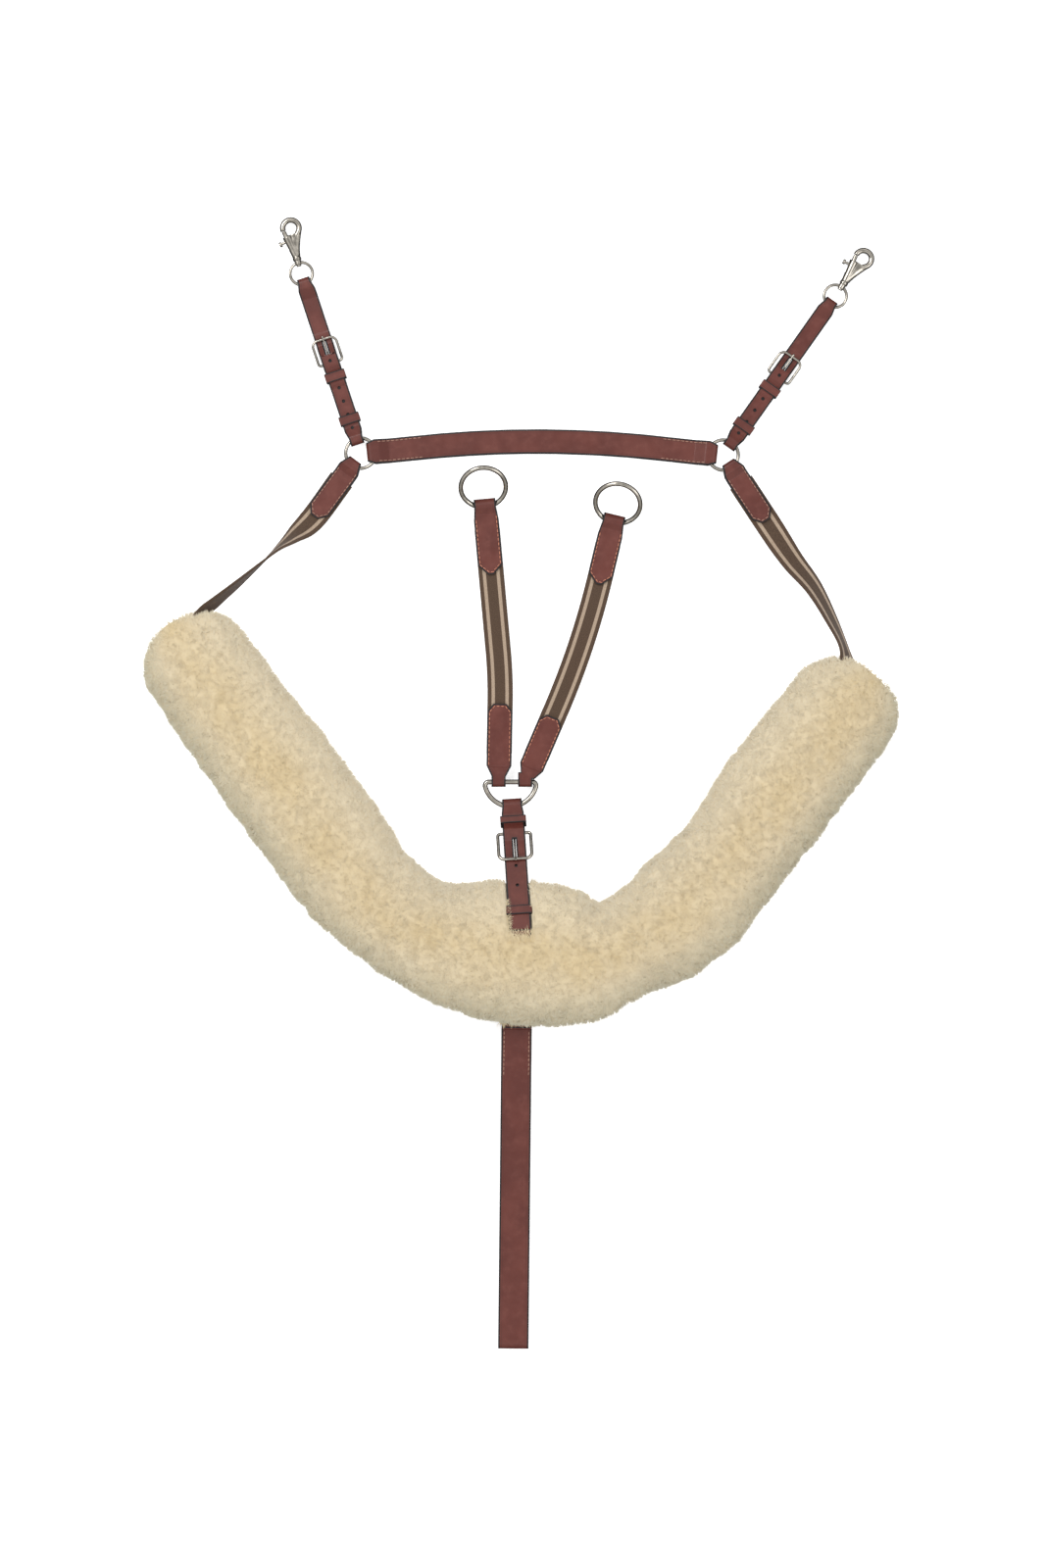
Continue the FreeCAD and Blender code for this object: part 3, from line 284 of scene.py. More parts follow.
LEATHER = make_leather()
NICKEL = make_nickel()
WEBBING = make_webbing()
PILE = make_fleece("fleece_pile")
SKIN = make_fleece("fleece_backing")
THREAD = make_thread("rust_thread", colour(205, 138, 112), colour(170, 104, 82))
PALE_THREAD = make_thread("tan_thread", colour(182, 140, 122), colour(140, 100, 86))
LINING = make_plain("plain_web", colour(104, 88, 74), colour(80, 66, 54), 0.85)
TAPE = make_plain("hook_tape", colour(205, 196, 174), colour(178, 168, 146), 0.9)
STEEL = make_plain("spring_wire", colour(170, 170, 170), colour(130, 130, 130), 0.35)


# ---- mesh helpers --------------------------------------------------------------------------------
def new_object(name, vertices, faces, material):
    mesh = bpy.data.meshes.new(name)
    mesh.from_pydata([tuple(v) for v in vertices], [], [tuple(f) for f in faces])
    mesh.materials.append(material)
    obj = bpy.data.objects.new(name, mesh)
    bpy.context.scene.collection.objects.link(obj)
    return obj


def shade_smooth(obj, degrees=40.0):
    mesh = obj.data
    mesh.polygons.foreach_set("use_smooth", [True] * len(mesh.polygons))
    mesh.set_sharp_from_angle(angle=math.radians(degrees))
    mesh.update()


def add_attribute(obj, name, values):
    attribute = obj.data.attributes.new(name, "FLOAT", "POINT")
    attribute.data.foreach_set("value", np.asarray(values, np.float32))


class StrapFrame:
    """u along a strap, v to its left, w up; taken from a joint of the CAD frame."""

    def __init__(self, origin, heading, slope=0.0):
        self.origin = Vector(origin)
        a, b = math.radians(heading), math.radians(slope)
        self.u = Vector((math.cos(a) * math.cos(b), math.sin(a) * math.cos(b), math.sin(b)))
        self.v = Vector((-math.sin(a), math.cos(a), 0))
        self.w = self.u.cross(self.v)

    def point(self, u, v=0.0, w=0.0):
        """A point from millimetres along the frame's axes."""
        return self.origin + (self.u * u + self.v * v + self.w * w) * MM


def heading_of(joint, sign=1):
    """The plan heading that a strap on this hinge leaves it with, in degrees."""
    axis = Vector(JOINTS[joint]["axis"])
    along = UP.cross(axis) * sign
    return math.degrees(math.atan2(along.y, along.x))


# ---- leather -------------------------------------------------------------------------------------
def mark(bm, name, faces, value):
    layer = bm.faces.layers.float[name]
    for face in faces:
        face[layer] = value


def punched_holes(walls):
    """Middle, radius and faces of each small closed wall among these: a hole through the strap."""
    holes, unseen = [], set(walls)
    while unseen:
        front, group = [unseen.pop()], []
        while front:
            face = front.pop()
            group.append(face)
            for other in {f for edge in face.edges for f in edge.link_faces} & unseen:
                unseen.discard(other)
                front.append(other)
        corners = [v.co.copy() for face in group for v in face.verts]
        low, high = (Vector(pick(c[i] for c in corners) for i in range(3)) for pick in (min, max))
        if max((high - low).xy) < LARGEST_HOLE * MM:
            holes.append(((low + high) / 2, max((high - low).xy) / 2, group))
    return holes


def leather_piece(node, thick, up=UP, rim=1.5, crease=2.8):
    """The CAD strap with painted cut edges, a burnished rim, a creased line and rounded arrises; its hole walls
    and a dark disc inside each small hole are painted shade.
    """
    bm = bmesh.new()
    bm.from_mesh(NODES[node].data)
    bm.faces.layers.float.new("cut")
    bm.faces.layers.float.new("crease")
    bmesh.ops.remove_doubles(bm, verts=bm.verts, dist=2e-6)
    bmesh.ops.dissolve_limit(bm, angle_limit=math.radians(1.5), verts=bm.verts, edges=bm.edges)
    bm.normal_update()
    edge_faces = []
    for face in bm.faces:
        levels = [v.co.dot(up) for v in face.verts]
        if abs(face.normal.dot(up)) < 0.3 and max(levels) - min(levels) > 0.8 * thick * MM:
            edge_faces.append(face)
    # Black edge paint on the strap's outer walls; on the walls of punched holes the same black is painted shade.
    mark(bm, "cut", edge_faces, 1.0)
    holes = punched_holes(edge_faces)
    outer_walls = set(edge_faces) - {face for _, _, group in holes for face in group}
    skin = [f for f in bm.faces if f not in outer_walls]
    for width, name in ((rim, "cut"), (crease - rim, None), (CREASE_WIDTH, "crease")):
        made = bmesh.ops.inset_region(
            bm, faces=skin, thickness=width * MM, use_even_offset=False, use_boundary=True
        )
        if name:
            mark(bm, name, made["faces"], 1.0)
    sharp = [e for e in bm.edges if len(e.link_faces) == 2 and e.calc_face_angle() > math.radians(50)]
    bmesh.ops.bevel(
        bm, geom=sharp, offset=ARRIS * MM, segments=2, affect="EDGES", profile=0.5, clamp_overlap=True
    )
    turned = up.to_track_quat("Z", "Y").to_matrix().to_4x4()
    # Dark discs sunk in the small holes: painted shade where the floor would show through.
    for centre, radius, _ in holes:
        if radius > PUNCH_RADIUS * MM:
            continue
        place = Matrix.Translation(centre - up * (0.2 * thick * MM)) @ turned
        disc = bmesh.ops.create_circle(
            bm, cap_ends=True, segments=16, radius=radius + 0.3 * MM, matrix=place
        )
        mark(bm, "cut", {f for v in disc["verts"] for f in v.link_faces}, 1.0)
    mesh = bpy.data.meshes.new(node + "_leather")
    bm.to_mesh(mesh)
    bm.free()
    mesh.materials.append(LEATHER)
    obj = bpy.data.objects.new(node + "_leather", mesh)
    bpy.context.scene.collection.objects.link(obj)
    shade_smooth(obj, 38)
    weighted = obj.modifiers.new("normals", "WEIGHTED_NORMAL")
    weighted.keep_sharp = True
    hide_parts(node)
    return obj


def line_points(points, step):
    """Even points along a polyline of 3-D points."""
    found, rest = [], 0.0
    for a, b in zip(points, points[1:]):
        length = (b - a).length
        while rest <= length:
            found.append((a.lerp(b, rest / length), (b - a).normalized()))
            rest += step
        rest -= length
    return found


class Stitches:
    """Saddle stitches laid on the top of a leather piece, gathered into one mesh for each body."""

    def __init__(self):
        self.bodies = {}

    def sew(self, piece, body, points, material=None, pitch=4.1, length=2.7):
        depsgraph = bpy.context.evaluated_depsgraph_get()
        tree = BVHTree.FromObject(piece, depsgraph)
        key = (body, (material or THREAD).name)
        vertices, faces = self.bodies.setdefault(key, ([], []))
        for middle, along in line_points(points, pitch * MM):
            hits = []
            for shift in (-0.5, 0.5):
                start = middle + along * (shift * length * MM) + Vector((0, 0, 0.1))
                hits.append(tree.ray_cast(start, Vector((0, 0, -1)))[0])
            if None in hits or (hits[1] - hits[0]).length > 1.6 * length * MM:
                continue
            self.capsule(vertices, faces, hits[0], hits[1], STITCH_RADIUS * MM)

    @staticmethod
    def capsule(vertices, faces, start, end, radius):
        """Adds one stitch: a six-sided rod that narrows at both ends."""
        along = (end - start).normalized()
        side = along.cross(UP).normalized()
        up = side.cross(along)
        base = len(vertices)
        rings = ((-0.1, 0.25), (0.1, 0.85), (0.5, 1.0), (0.9, 0.85), (1.1, 0.25))
        for share, size in rings:
            centre = start.lerp(end, share) + up * radius * (0.45 * size)
            for corner in range(6):
                turn = math.tau * corner / 6
                reach = radius * size
                vertices.append(centre + side * math.cos(turn) * reach + up * math.sin(turn) * reach)
        for ring in range(len(rings) - 1):
            for corner in range(6):
                a, b = base + ring * 6 + corner, base + ring * 6 + (corner + 1) % 6
                faces.append((a, b, b + 6, a + 6))
        faces.append(tuple(base + corner for corner in reversed(range(6))))
        faces.append(tuple(base + (len(rings) - 1) * 6 + corner for corner in range(6)))

    def finish(self):
        for (body, material), (vertices, faces) in self.bodies.items():
            if vertices:
                name = body + "_" + material + "_stitches"
                obj = new_object(name, vertices, faces, bpy.data.materials[material])
                shade_smooth(obj, 80)
                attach(obj, body)


stitches = Stitches()


def tab_seam(strap, tip, half, start, point_length, point_half, inset=2.1):
    """The seam that follows a pointed tab's outline, in its frame's millimetres."""
    side = [
        (start, half - inset),
        (tip - point_length - 0.3 * inset, half - inset),
        (tip - 1.1 * inset, max(point_half - 0.5 * inset, 0.3)),
    ]
    outline = side + [(u, -v) for u, v in reversed(side)]
    return [strap.point(u, v) for u, v in outline]


# ---- webbing -------------------------------------------------------------------------------------
def spline(points, count):
    """A smooth run through rows of numbers, as Catmull-Rom, with this many rows in each gap."""
    rows = np.array(points, float)
    padded = np.vstack([2 * rows[0] - rows[1], rows, 2 * rows[-1] - rows[-2]])
    found = []
    for i in range(1, len(padded) - 2):
        p0, p1, p2, p3 = padded[i - 1 : i + 3]
        for t in np.linspace(0, 1, count, endpoint=False):
            found.append(
                0.5 * (2 * p1 + (p2 - p0) * t + (2 * p0 - 5 * p1 + 4 * p2 - p3) * t**2
                       + (3 * p1 - p0 - 3 * p2 + p3) * t**3)
            )
    found.append(rows[-1])
    return np.array(found)


def ribbon(name, rows, width, thick):
    """Webbing through rows of (x, y, z, tilt) in mm and degrees, with selvedges and stripes."""
    profile = [(-1.0, 0.0), (-0.97, 0.7), (-0.9, 1.0)]
    profile += [(x, 1.0) for x in (-0.6, -0.3, 0.0, 0.3, 0.6)]
    profile += [(0.9, 1.0), (0.97, 0.7), (1.0, 0.0)]
    profile += [(x, -h) for x, h in reversed(profile[1:-1])]
    rows = np.array(rows)
    tangents = np.gradient(rows[:, :3], axis=0)
    vertices, across, along, front = [], [], [], []
    travelled = 0.0
    for i, (row, tangent) in enumerate(zip(rows, tangents)):
        t = Vector(tangent).normalized()
        side = UP.cross(t).normalized()
        side = Matrix.Rotation(math.radians(row[3]), 3, t) @ side
        through = t.cross(side)
        if i:
            travelled += float(np.linalg.norm(rows[i, :3] - rows[i - 1, :3]))
        for x, h in profile:
            offset = side * (x * width / 2) + through * (h * thick / 2)
            vertices.append((Vector(row[:3]) + offset) * MM)
            across.append(x)
            along.append(travelled * MM)
            front.append(1.0 if h > 0 else 0.0)
    count = len(profile)
    faces = []
    for i in range(len(rows) - 1):
        for k in range(count):
            a, b = i * count + k, i * count + (k + 1) % count
            faces.append((a, b, b + count, a + count))
    faces.append(tuple(reversed(range(count))))
    faces.append(tuple((len(rows) - 1) * count + k for k in range(count)))
    obj = new_object(name, vertices, faces, WEBBING)
    add_attribute(obj, "across", across)
    add_attribute(obj, "along", along)
    add_attribute(obj, "front", front)
    shade_smooth(obj, 60)
    return obj


# ---- walks in plan -------------------------------------------------------------------------------
class Walk:
    """Straight runs and tangent arcs in plan, in millimetres and degrees."""

    def __init__(self, x, y, heading):
        self.moves = []
        self.x, self.y, self.heading = x, y, heading

    def step(self, length, turn=0.0):
        self.moves.append((self.x, self.y, self.heading, length, turn))
        self.x, self.y, self.heading = self.along(self.moves[-1], length)
        return self

    @staticmethod
    def along(move, distance):
        x, y, heading, length, turn = move
        a = math.radians(heading)
        if not turn:
            return x + distance * math.cos(a), y + distance * math.sin(a), heading
        radius = length / math.radians(turn)
        b = a + distance / radius
        right, back = math.sin(b) - math.sin(a), math.cos(b) - math.cos(a)
        return x + radius * right, y - radius * back, math.degrees(b)

    def length(self):
        return sum(move[3] for move in self.moves)

    def at(self, distance):
        for move in self.moves:
            if distance <= move[3] or move is self.moves[-1]:
                return self.along(move, distance)
            distance -= move[3]


def arc(radius, turn):
    """Length and turn of an arc, for Walk.step."""
    return radius * math.radians(abs(turn)), turn


# ---- fleece --------------------------------------------------------------------------------------
TUBE = Walk(-292.5, 103.5, -53.3).step(246.3).step(*arc(140, 48.3)).step(91.8)
TUBE.step(*arc(70, 38)).step(47.4).step(*arc(200, 18.5)).step(176)
TUBE_LENGTH = TUBE.length()
FORK_SLOPE = 26.0
fork = StrapFrame(JOINTS["d_ring_swing"]["pos_m"], heading_of("fork_fold", -1), FORK_SLOPE)

# how far the fleece reaches from its middle line, at distances along it: towards the neck, and away
INNER_WIDTHS = (
    (0, 51), (60, 51), (110, 53.5), (222, 52.5), (240, 48), (254, 50.5), (300, 50.5), (330, 53),
    (350, 57), (375, 63), (407, 66), (444, 63), (470, 58), (488, 55), (500, 44.5), (507, 42.5), (530, 43),
    (548, 47), (566, 50.5), (600, 49), (638, 46.5), (665, 50), (695, 54), (791, 53),
)
OUTER_WIDTHS = (
    (0, 52), (50, 55), (110, 56.5), (220, 57.5), (240, 56.5), (262, 52), (285, 49.5), (312, 51.5),
    (345, 58), (375, 66), (407, 68), (444, 67), (466, 63), (490, 51.5), (504, 52.5), (530, 59.5),
    (545, 62), (565, 60), (576, 61), (600, 57), (640, 54.5), (700, 55.3), (791, 52.5),
)


def smooth_steps(distance, stations):
    """Widths between stations, rounded over a few millimetres."""
    at, width = np.array(stations, float).T
    return sum(np.interp(distance + shift, at, width) for shift in (-5, -2, 2, 5)) / 4


def waves(points, size, seed, count=14):
    """Soft noise from -1 to 1: plane waves of about this size in random directions."""
    draw = np.random.default_rng(seed)
    total = np.zeros(len(points))
    for _ in range(count):
        direction = draw.normal(size=3)
        direction *= draw.uniform(0.6, 1.6) / (np.linalg.norm(direction) * size)
        total += np.sin(points @ direction * math.tau + draw.uniform(0, math.tau))
    return total / math.sqrt(count / 2) / 1.6


def bell(x, centre, width):
    return np.exp(-(((x - centre) / width) ** 2))


def tube_point(s, turn, inset):
    """Fleece surface points from distances along the tube (mm) and angles round it (radians).

    Angle 0 is the inner edge, a quarter turn is the top. Gives points, normals and how far across.
    """
    distance = np.clip(s, 0, TUBE_LENGTH)
    walks = np.array([TUBE.at(d) for d in distance])
    heading = np.radians(walks[:, 2])
    ahead = np.stack([np.cos(heading), np.sin(heading)], 1)
    inward = np.stack([-np.sin(heading), np.cos(heading)], 1)
    inner = smooth_steps(distance, INNER_WIDTHS)
    outer = smooth_steps(distance, OUTER_WIDTHS)
    beyond = s - distance
    cap = np.clip(1 - np.abs(beyond / END) ** CAP_SQUARENESS, 0, 1) ** (1 / CAP_SQUARENESS)
    side = np.cos(turn)
    reach = (np.where(side > 0, inner, outer) * cap - inset * cap**0.5) * side
    height = (HALF_HEIGHT * cap - inset * cap**0.5) * np.sin(turn)
    points = np.empty((len(s), 3))
    points[:, :2] = walks[:, :2] + ahead * (beyond * (1 - inset / END))[:, None] + inward * reach[:, None]
    points[:, 2] = HALF_HEIGHT + height
    normal = np.empty((len(s), 3))
    normal[:, :2] = inward * (side * HALF_HEIGHT * cap)[:, None]
    normal[:, :2] += ahead * (beyond / END * HALF_HEIGHT)[:, None]
    normal[:, 2] = np.sin(turn) * np.where(side > 0, inner, outer) * cap
    normal /= np.maximum(np.linalg.norm(normal, axis=1), 1e-9)[:, None]
    return points, normal, -side


def fork_position(points):
    """Places of points (mm) in the fork strap's own frame: along it, to its left and above it."""
    local = points * MM - np.array(fork.origin)
    return [local @ np.array(axis) / MM for axis in (fork.u, fork.v, fork.w)]


def under_fork(points):
    """How deep points (mm) lie inside the space that the fork strap takes, 0 outside it."""
    along, sideways, above = fork_position(points)
    inside = np.clip((DENT_HALF - np.abs(sideways)) / 3.0, 0, 1)
    inside *= np.clip((along - DENT_START) / 6, 0, 1)
    inside *= np.clip((DENT_END - along) / 3.0, 0, 1)
    return inside * np.maximum(above + DENT_DEPTH, 0)


def fleece_tint(points, across, tip):
    """Colour of the wool: pale at the inner edge, warm down the middle as painted light scattered in the pile,
    greyer at the outer edge, and darker towards the roots as painted shade.
    """
    pale = np.array(colour(212, 205, 186)[:3])
    warm = np.array(colour(203, 188, 155)[:3])
    grey = np.array(colour(190, 187, 168)[:3])
    # Root colour: painted shade deep in the pile, which casts no shadows of its own.
    root = np.array(colour(198, 175, 133)[:3])
    patch = 0.5 + 0.5 * waves(points, 60, 3)
    fine = 0.5 + 0.5 * waves(points, 14, 4)
    # Warmth down the middle, varied in patches: painted light scattered between the fibres.
    warmth = np.clip(bell(across, 0.05, 0.6) * (0.75 + 0.3 * patch) * (0.85 + 0.25 * fine), 0, 1)
    greyness = np.clip((across - 0.5) * 2.0, 0, 1) * (0.8 + 0.3 * fine)
    tint = pale + (warm - pale) * warmth[:, None]
    tint += (grey - tint) * np.clip(greyness, 0, 1)[:, None]
    return root + (tint - root) * tip[:, None]


def colour_attribute(obj, name, values):
    attribute = obj.data.attributes.new(name, "FLOAT_COLOR", "POINT")
    rows = np.ones((len(values), 4), np.float32)
    rows[:, :3] = values
    attribute.data.foreach_set("color", rows.ravel())


def fleece_lumps(points):
    """Soft lumps and dents of the stuffed hide, in millimetres."""
    return 0.9 * waves(points, 30, 1) + 0.2 * waves(points, 10, 2)


def make_fleece_backing():
    """The padded hide under the pile, as one closed skin with soft lumps."""
    rows = np.concatenate([
        -END * np.sin(np.linspace(math.pi / 2, 0, 12, endpoint=False)),
        np.arange(0, TUBE_LENGTH, 3.0),
        TUBE_LENGTH + END * np.sin(np.linspace(0, math.pi / 2, 12)),
    ])
    rows[0] += 0.01
    rows[-1] -= 0.01
    columns = 72
    s = np.repeat(rows, columns)
    turn = np.tile(np.arange(columns) * math.tau / columns, len(rows))
    points, normal, across = tube_point(s, turn, PILE_DEPTH)
    points += normal * fleece_lumps(points)[:, None]
    points[:, 2] -= np.clip(under_fork(points), 0, 30)
    points[:, 2] = np.maximum(points[:, 2], 1.0)
    faces = []
    for i in range(len(rows) - 1):
        for k in range(columns):
            a, b = i * columns + k, i * columns + (k + 1) % columns
            faces.append((a, b, b + columns, a + columns))
    faces.append(tuple(reversed(range(columns))))
    faces.append(tuple((len(rows) - 1) * columns + k for k in range(columns)))
    obj = new_object("sheepskin_backing", points * MM, faces, SKIN)
    # The backing takes the wool colour seven tenths of the way from the painted root shade.
    colour_attribute(obj, "wool", fleece_tint(points, across, np.full(len(points), 0.7)))
    shade_smooth(obj, 80)
    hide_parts("sheepskin")
    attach(obj, "chest")


def skin_fibres(count):
    """Sheared wool in soft locks over the top and sides of the backing.

    Gives each fibre's place along the tube, root, normal, side, direction and length.
    """
    s = rng.uniform(-END, TUBE_LENGTH + END, count)
    turn = rng.uniform(-SKIRT_ANGLE, math.pi + SKIRT_ANGLE, count)
    in_cap = (s < 0) | (s > TUBE_LENGTH)
    beyond = np.where(s < 0, -s, s - TUBE_LENGTH)
    keep = ~in_cap | (rng.uniform(0, 1, count) < np.sqrt(np.clip(1 - (beyond / END) ** 2, 0, 1)))
    s, turn = s[keep], turn[keep]
    roots, normal, across = tube_point(s, turn, PILE_DEPTH)
    along, sideways, _ = fork_position(roots)
    covered = (np.abs(sideways) < BARE_HALF) & (along > DENT_START) & (along < BARE_END)
    keep = (under_fork(roots + normal * 4) < 0.5) & ~covered
    s, roots, normal, across = s[keep], roots[keep], normal[keep], across[keep]
    roots += normal * (fleece_lumps(roots) - 0.5)[:, None]
    lean = np.stack([waves(roots, size, seed) for size, seed in ((13, 21), (13, 22), (13, 23))], 1)
    lean += 0.8 * np.stack([waves(roots, size, seed) for size, seed in ((6, 31), (6, 32), (6, 33))], 1)
    direction = normal + 0.42 * lean + 0.30 * rng.normal(size=roots.shape)
    direction[:, 1] -= 0.15
    length = 4.6 + 0.5 * waves(roots, 11, 41) + rng.normal(size=len(roots)) * 0.45
    return s, roots, normal, across, direction, length


def edge_tufts(per_edge):
    """Longer fibres that curl over the fork strap's side and end, and over the girth strap's top."""
    strap = np.array([v.co for v in NODES["fork_strap"].data.vertices]) / MM
    along, _, above = fork_position(strap)
    top = above[along > 100].max()
    u, v, w = (np.array(axis) for axis in (fork.u, fork.v, fork.w))
    roots, direction = [], []
    for low, high, lean in (((96, -13.5), (128, -11.3), v), ((127.5, -12.5), (137, 12.5), -u)):
        at = rng.uniform(low, high, (per_edge, 2))
        lift = top - rng.uniform(1.0, 4.0, per_edge)
        roots.append(np.array(fork.origin) / MM + at[:, :1] * u + at[:, 1:] * v + lift[:, None] * w)
        direction.append(np.tile(0.8 * lean + 0.6 * w, (per_edge, 1)))
    girth = np.array(JOINTS["girth_fold"]["pos_m"]) / MM
    roots.append(girth + rng.uniform((-15, 8, 3), (15, 15, 9), (per_edge, 3)))
    direction.append(np.tile([0.0, -0.9, 0.15], (per_edge, 1)))
    roots, direction = np.concatenate(roots), np.concatenate(direction)
    direction += 0.28 * rng.normal(size=direction.shape)
    total = len(roots)
    s = np.full(total, TUBE_LENGTH / 2)
    normal = np.tile([0.0, 0.0, 1.0], (total, 1))
    return s, roots, normal, np.zeros(total), direction, rng.uniform(5.0, 8.0, total)


def make_pile(count):
    """The wool itself: each fibre is a narrow bent blade that tapers to its tip, darker towards its root as
    painted shade.
    """
    s, roots, normal, across, direction, length = (
        np.concatenate(pair) for pair in zip(skin_fibres(count), edge_tufts(count // 300))
    )
    direction /= np.linalg.norm(direction, axis=1)[:, None]
    bend = 0.35 * rng.normal(size=roots.shape)
    tips = roots + direction * length[:, None] + bend
    middles = roots + direction * (0.55 * length)[:, None] - bend * 0.6
    lay = 0.5 * normal + np.array([0.0, 0.0, 0.65]) + 0.25 * (direction - normal)
    lay /= np.linalg.norm(lay, axis=1)[:, None]
    sideways = np.cross(direction, lay + 0.35 * rng.normal(size=roots.shape))
    sideways /= np.maximum(np.linalg.norm(sideways, axis=1), 1e-9)[:, None]
    width = (0.22 + 0.10 * rng.uniform(size=len(roots)))[:, None]
    corners = np.stack([
        roots - sideways * width,
        roots + sideways * width,
        middles + sideways * width * 0.9,
        middles - sideways * width * 0.9,
        tips,
    ], 1)
    corners[:, :, 2] = np.maximum(corners[:, :, 2], 0.4)
    lower_up = np.sum(np.cross(sideways, middles - roots) * lay, axis=1) >= 0
    upper_up = np.sum(np.cross(sideways, tips - middles) * lay, axis=1) >= 0
    # Share of the tip colour at each blade corner; nearer the root the wool takes the painted root shade.
    shares = np.array([0.45, 0.45, 0.8, 0.8, 1.0])
    edges = np.linspace(-END - 1, TUBE_LENGTH + END + 1, PILE_PIECES + 1)
    for number in range(PILE_PIECES):
        chosen = (s >= edges[number]) & (s < edges[number + 1])
        block = corners[chosen].reshape(-1, 3)
        total = int(chosen.sum())
        base = np.arange(total)[:, None] * BLADE_CORNERS
        quads = base + np.where(lower_up[chosen, None], (0, 1, 2, 3), (3, 2, 1, 0))
        ends = base + np.where(upper_up[chosen, None], (3, 2, 4), (4, 2, 3))
        mesh = bpy.data.meshes.new(f"sheepskin_pile_{number + 1}")
        fill_mesh(mesh, block * MM, quads, ends)
        mesh.normals_split_custom_set_from_vertices(np.repeat(lay[chosen], BLADE_CORNERS, axis=0))
        obj = bpy.data.objects.new(mesh.name, mesh)
        bpy.context.scene.collection.objects.link(obj)
        mesh.materials.append(PILE)
        tip = np.tile(shares, total)
        tip = np.clip(tip + np.repeat(rng.normal(size=total) * 0.08, BLADE_CORNERS), 0, 1.1)
        tint = fleece_tint(block, np.repeat(across[chosen], BLADE_CORNERS), tip)
        colour_attribute(obj, "wool", np.clip(tint, 0, 0.97))
        obj.visible_shadow = False
        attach(obj, "chest")


def fill_mesh(mesh, vertices, quads, triangles):
    """Writes a large mesh of quads and triangles quickly."""
    mesh.vertices.add(len(vertices))
    mesh.vertices.foreach_set("co", np.asarray(vertices, np.float32).ravel())
    loops = np.concatenate([quads.ravel(), triangles.ravel()]).astype(np.int32)
    starts = np.concatenate([
        np.arange(len(quads)) * 4,
        len(quads) * 4 + np.arange(len(triangles)) * 3,
    ]).astype(np.int32)
    mesh.loops.add(len(loops))
    mesh.loops.foreach_set("vertex_index", loops)
    mesh.polygons.add(len(starts))
    mesh.polygons.foreach_set("loop_start", starts)
    mesh.polygons.foreach_set("use_smooth", [True] * len(starts))
    mesh.update(calc_edges=True)


# ---- build the leatherwork -----------------------------------------------------------------------
def dress_kept_nodes():
    """Materials for the metal, web and tape nodes; those that nothing replaces show as they are."""
    finishes = {"nickel": NICKEL, "spring_steel": STEEL, "lining_web": LINING, "closure_nylon": TAPE}
    for part in frame["record"]["subparts"]:
        node = NODES[part["node"]]
        if part["material_slot"] in finishes:
            node.data.materials.clear()
            node.data.materials.append(finishes[part["material_slot"]])
            shade_smooth(node, 35)


def make_keeper(node, up=UP):
    """A keeper's narrow loop, whose painted rim and crease are finer than a strap's."""
    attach(leather_piece(node, KEEPER_THICK, up, rim=1.0, crease=2.0), BODY_OF[node])


def make_saddle_side(side):
    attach(leather_piece(side + "_saddle_strap", SADDLE_THICK), side + "_saddle")
    make_keeper(side + "_fixed_keeper")
    make_keeper(side + "_sliding_keeper")


def make_snap(side):
    """The snap's cast body: the CAD eye and shank with the smooth taper that fills between them."""
    joint = JOINTS[side + "_snap_swivel"]
    axis = Vector(joint["axis"])
    shank = StrapFrame(joint["pos_m"], math.degrees(math.atan2(axis.y, axis.x)))
    mount = next(m for m in frame["record"]["mounts"] if m["name"] == side + "_snap_eye")
    offset = Vector(mount["pos_m"]) - shank.origin
    reach, drift = offset.dot(shank.u) / MM, offset.dot(shank.v) / MM
    bm = bmesh.new()
    bm.from_mesh(NODES[side + "_snap_body"].data)
    rings, sides = [], 16
    start, stop_short = 4.0, 6.0
    for share in np.linspace(0, 1, 10):
        u = start + share * (reach - stop_short - start)
        half, deep = 3.9 + 4.6 * share**1.6, 3.2 - 0.6 * share
        turns = [math.tau * k / sides for k in range(sides)]
        spots = [(drift * share + half * math.cos(t), deep * math.sin(t)) for t in turns]
        rings.append([bm.verts.new(shank.point(u, v, w)) for v, w in spots])
    for a, b in zip(rings, rings[1:]):
        for k in range(sides):
            bm.faces.new((a[k], a[(k + 1) % sides], b[(k + 1) % sides], b[k]))
    bm.faces.new(rings[0][::-1])
    bm.faces.new(rings[-1])
    bmesh.ops.recalc_face_normals(bm, faces=bm.faces)
    rough = bpy.data.meshes.new(side + "_snap_rough")
    bm.to_mesh(rough)
    bm.free()
    cast = bpy.data.objects.new(side + "_snap_cast", rough)
    bpy.context.scene.collection.objects.link(cast)
    remesh = cast.modifiers.new("cast", "REMESH")
    remesh.mode, remesh.voxel_size = "VOXEL", 0.35 * MM
    smooth = cast.modifiers.new("polish", "SMOOTH")
    smooth.factor, smooth.iterations = 0.5, 6
    done = bpy.data.meshes.new_from_object(cast.evaluated_get(bpy.context.evaluated_depsgraph_get()))
    cast.modifiers.clear()
    cast.data = done
    done.materials.clear()
    done.materials.append(NICKEL)
    shade_smooth(cast, 60)
    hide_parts(side + "_snap_body")
    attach(cast, BODY_OF[side + "_snap_body"])


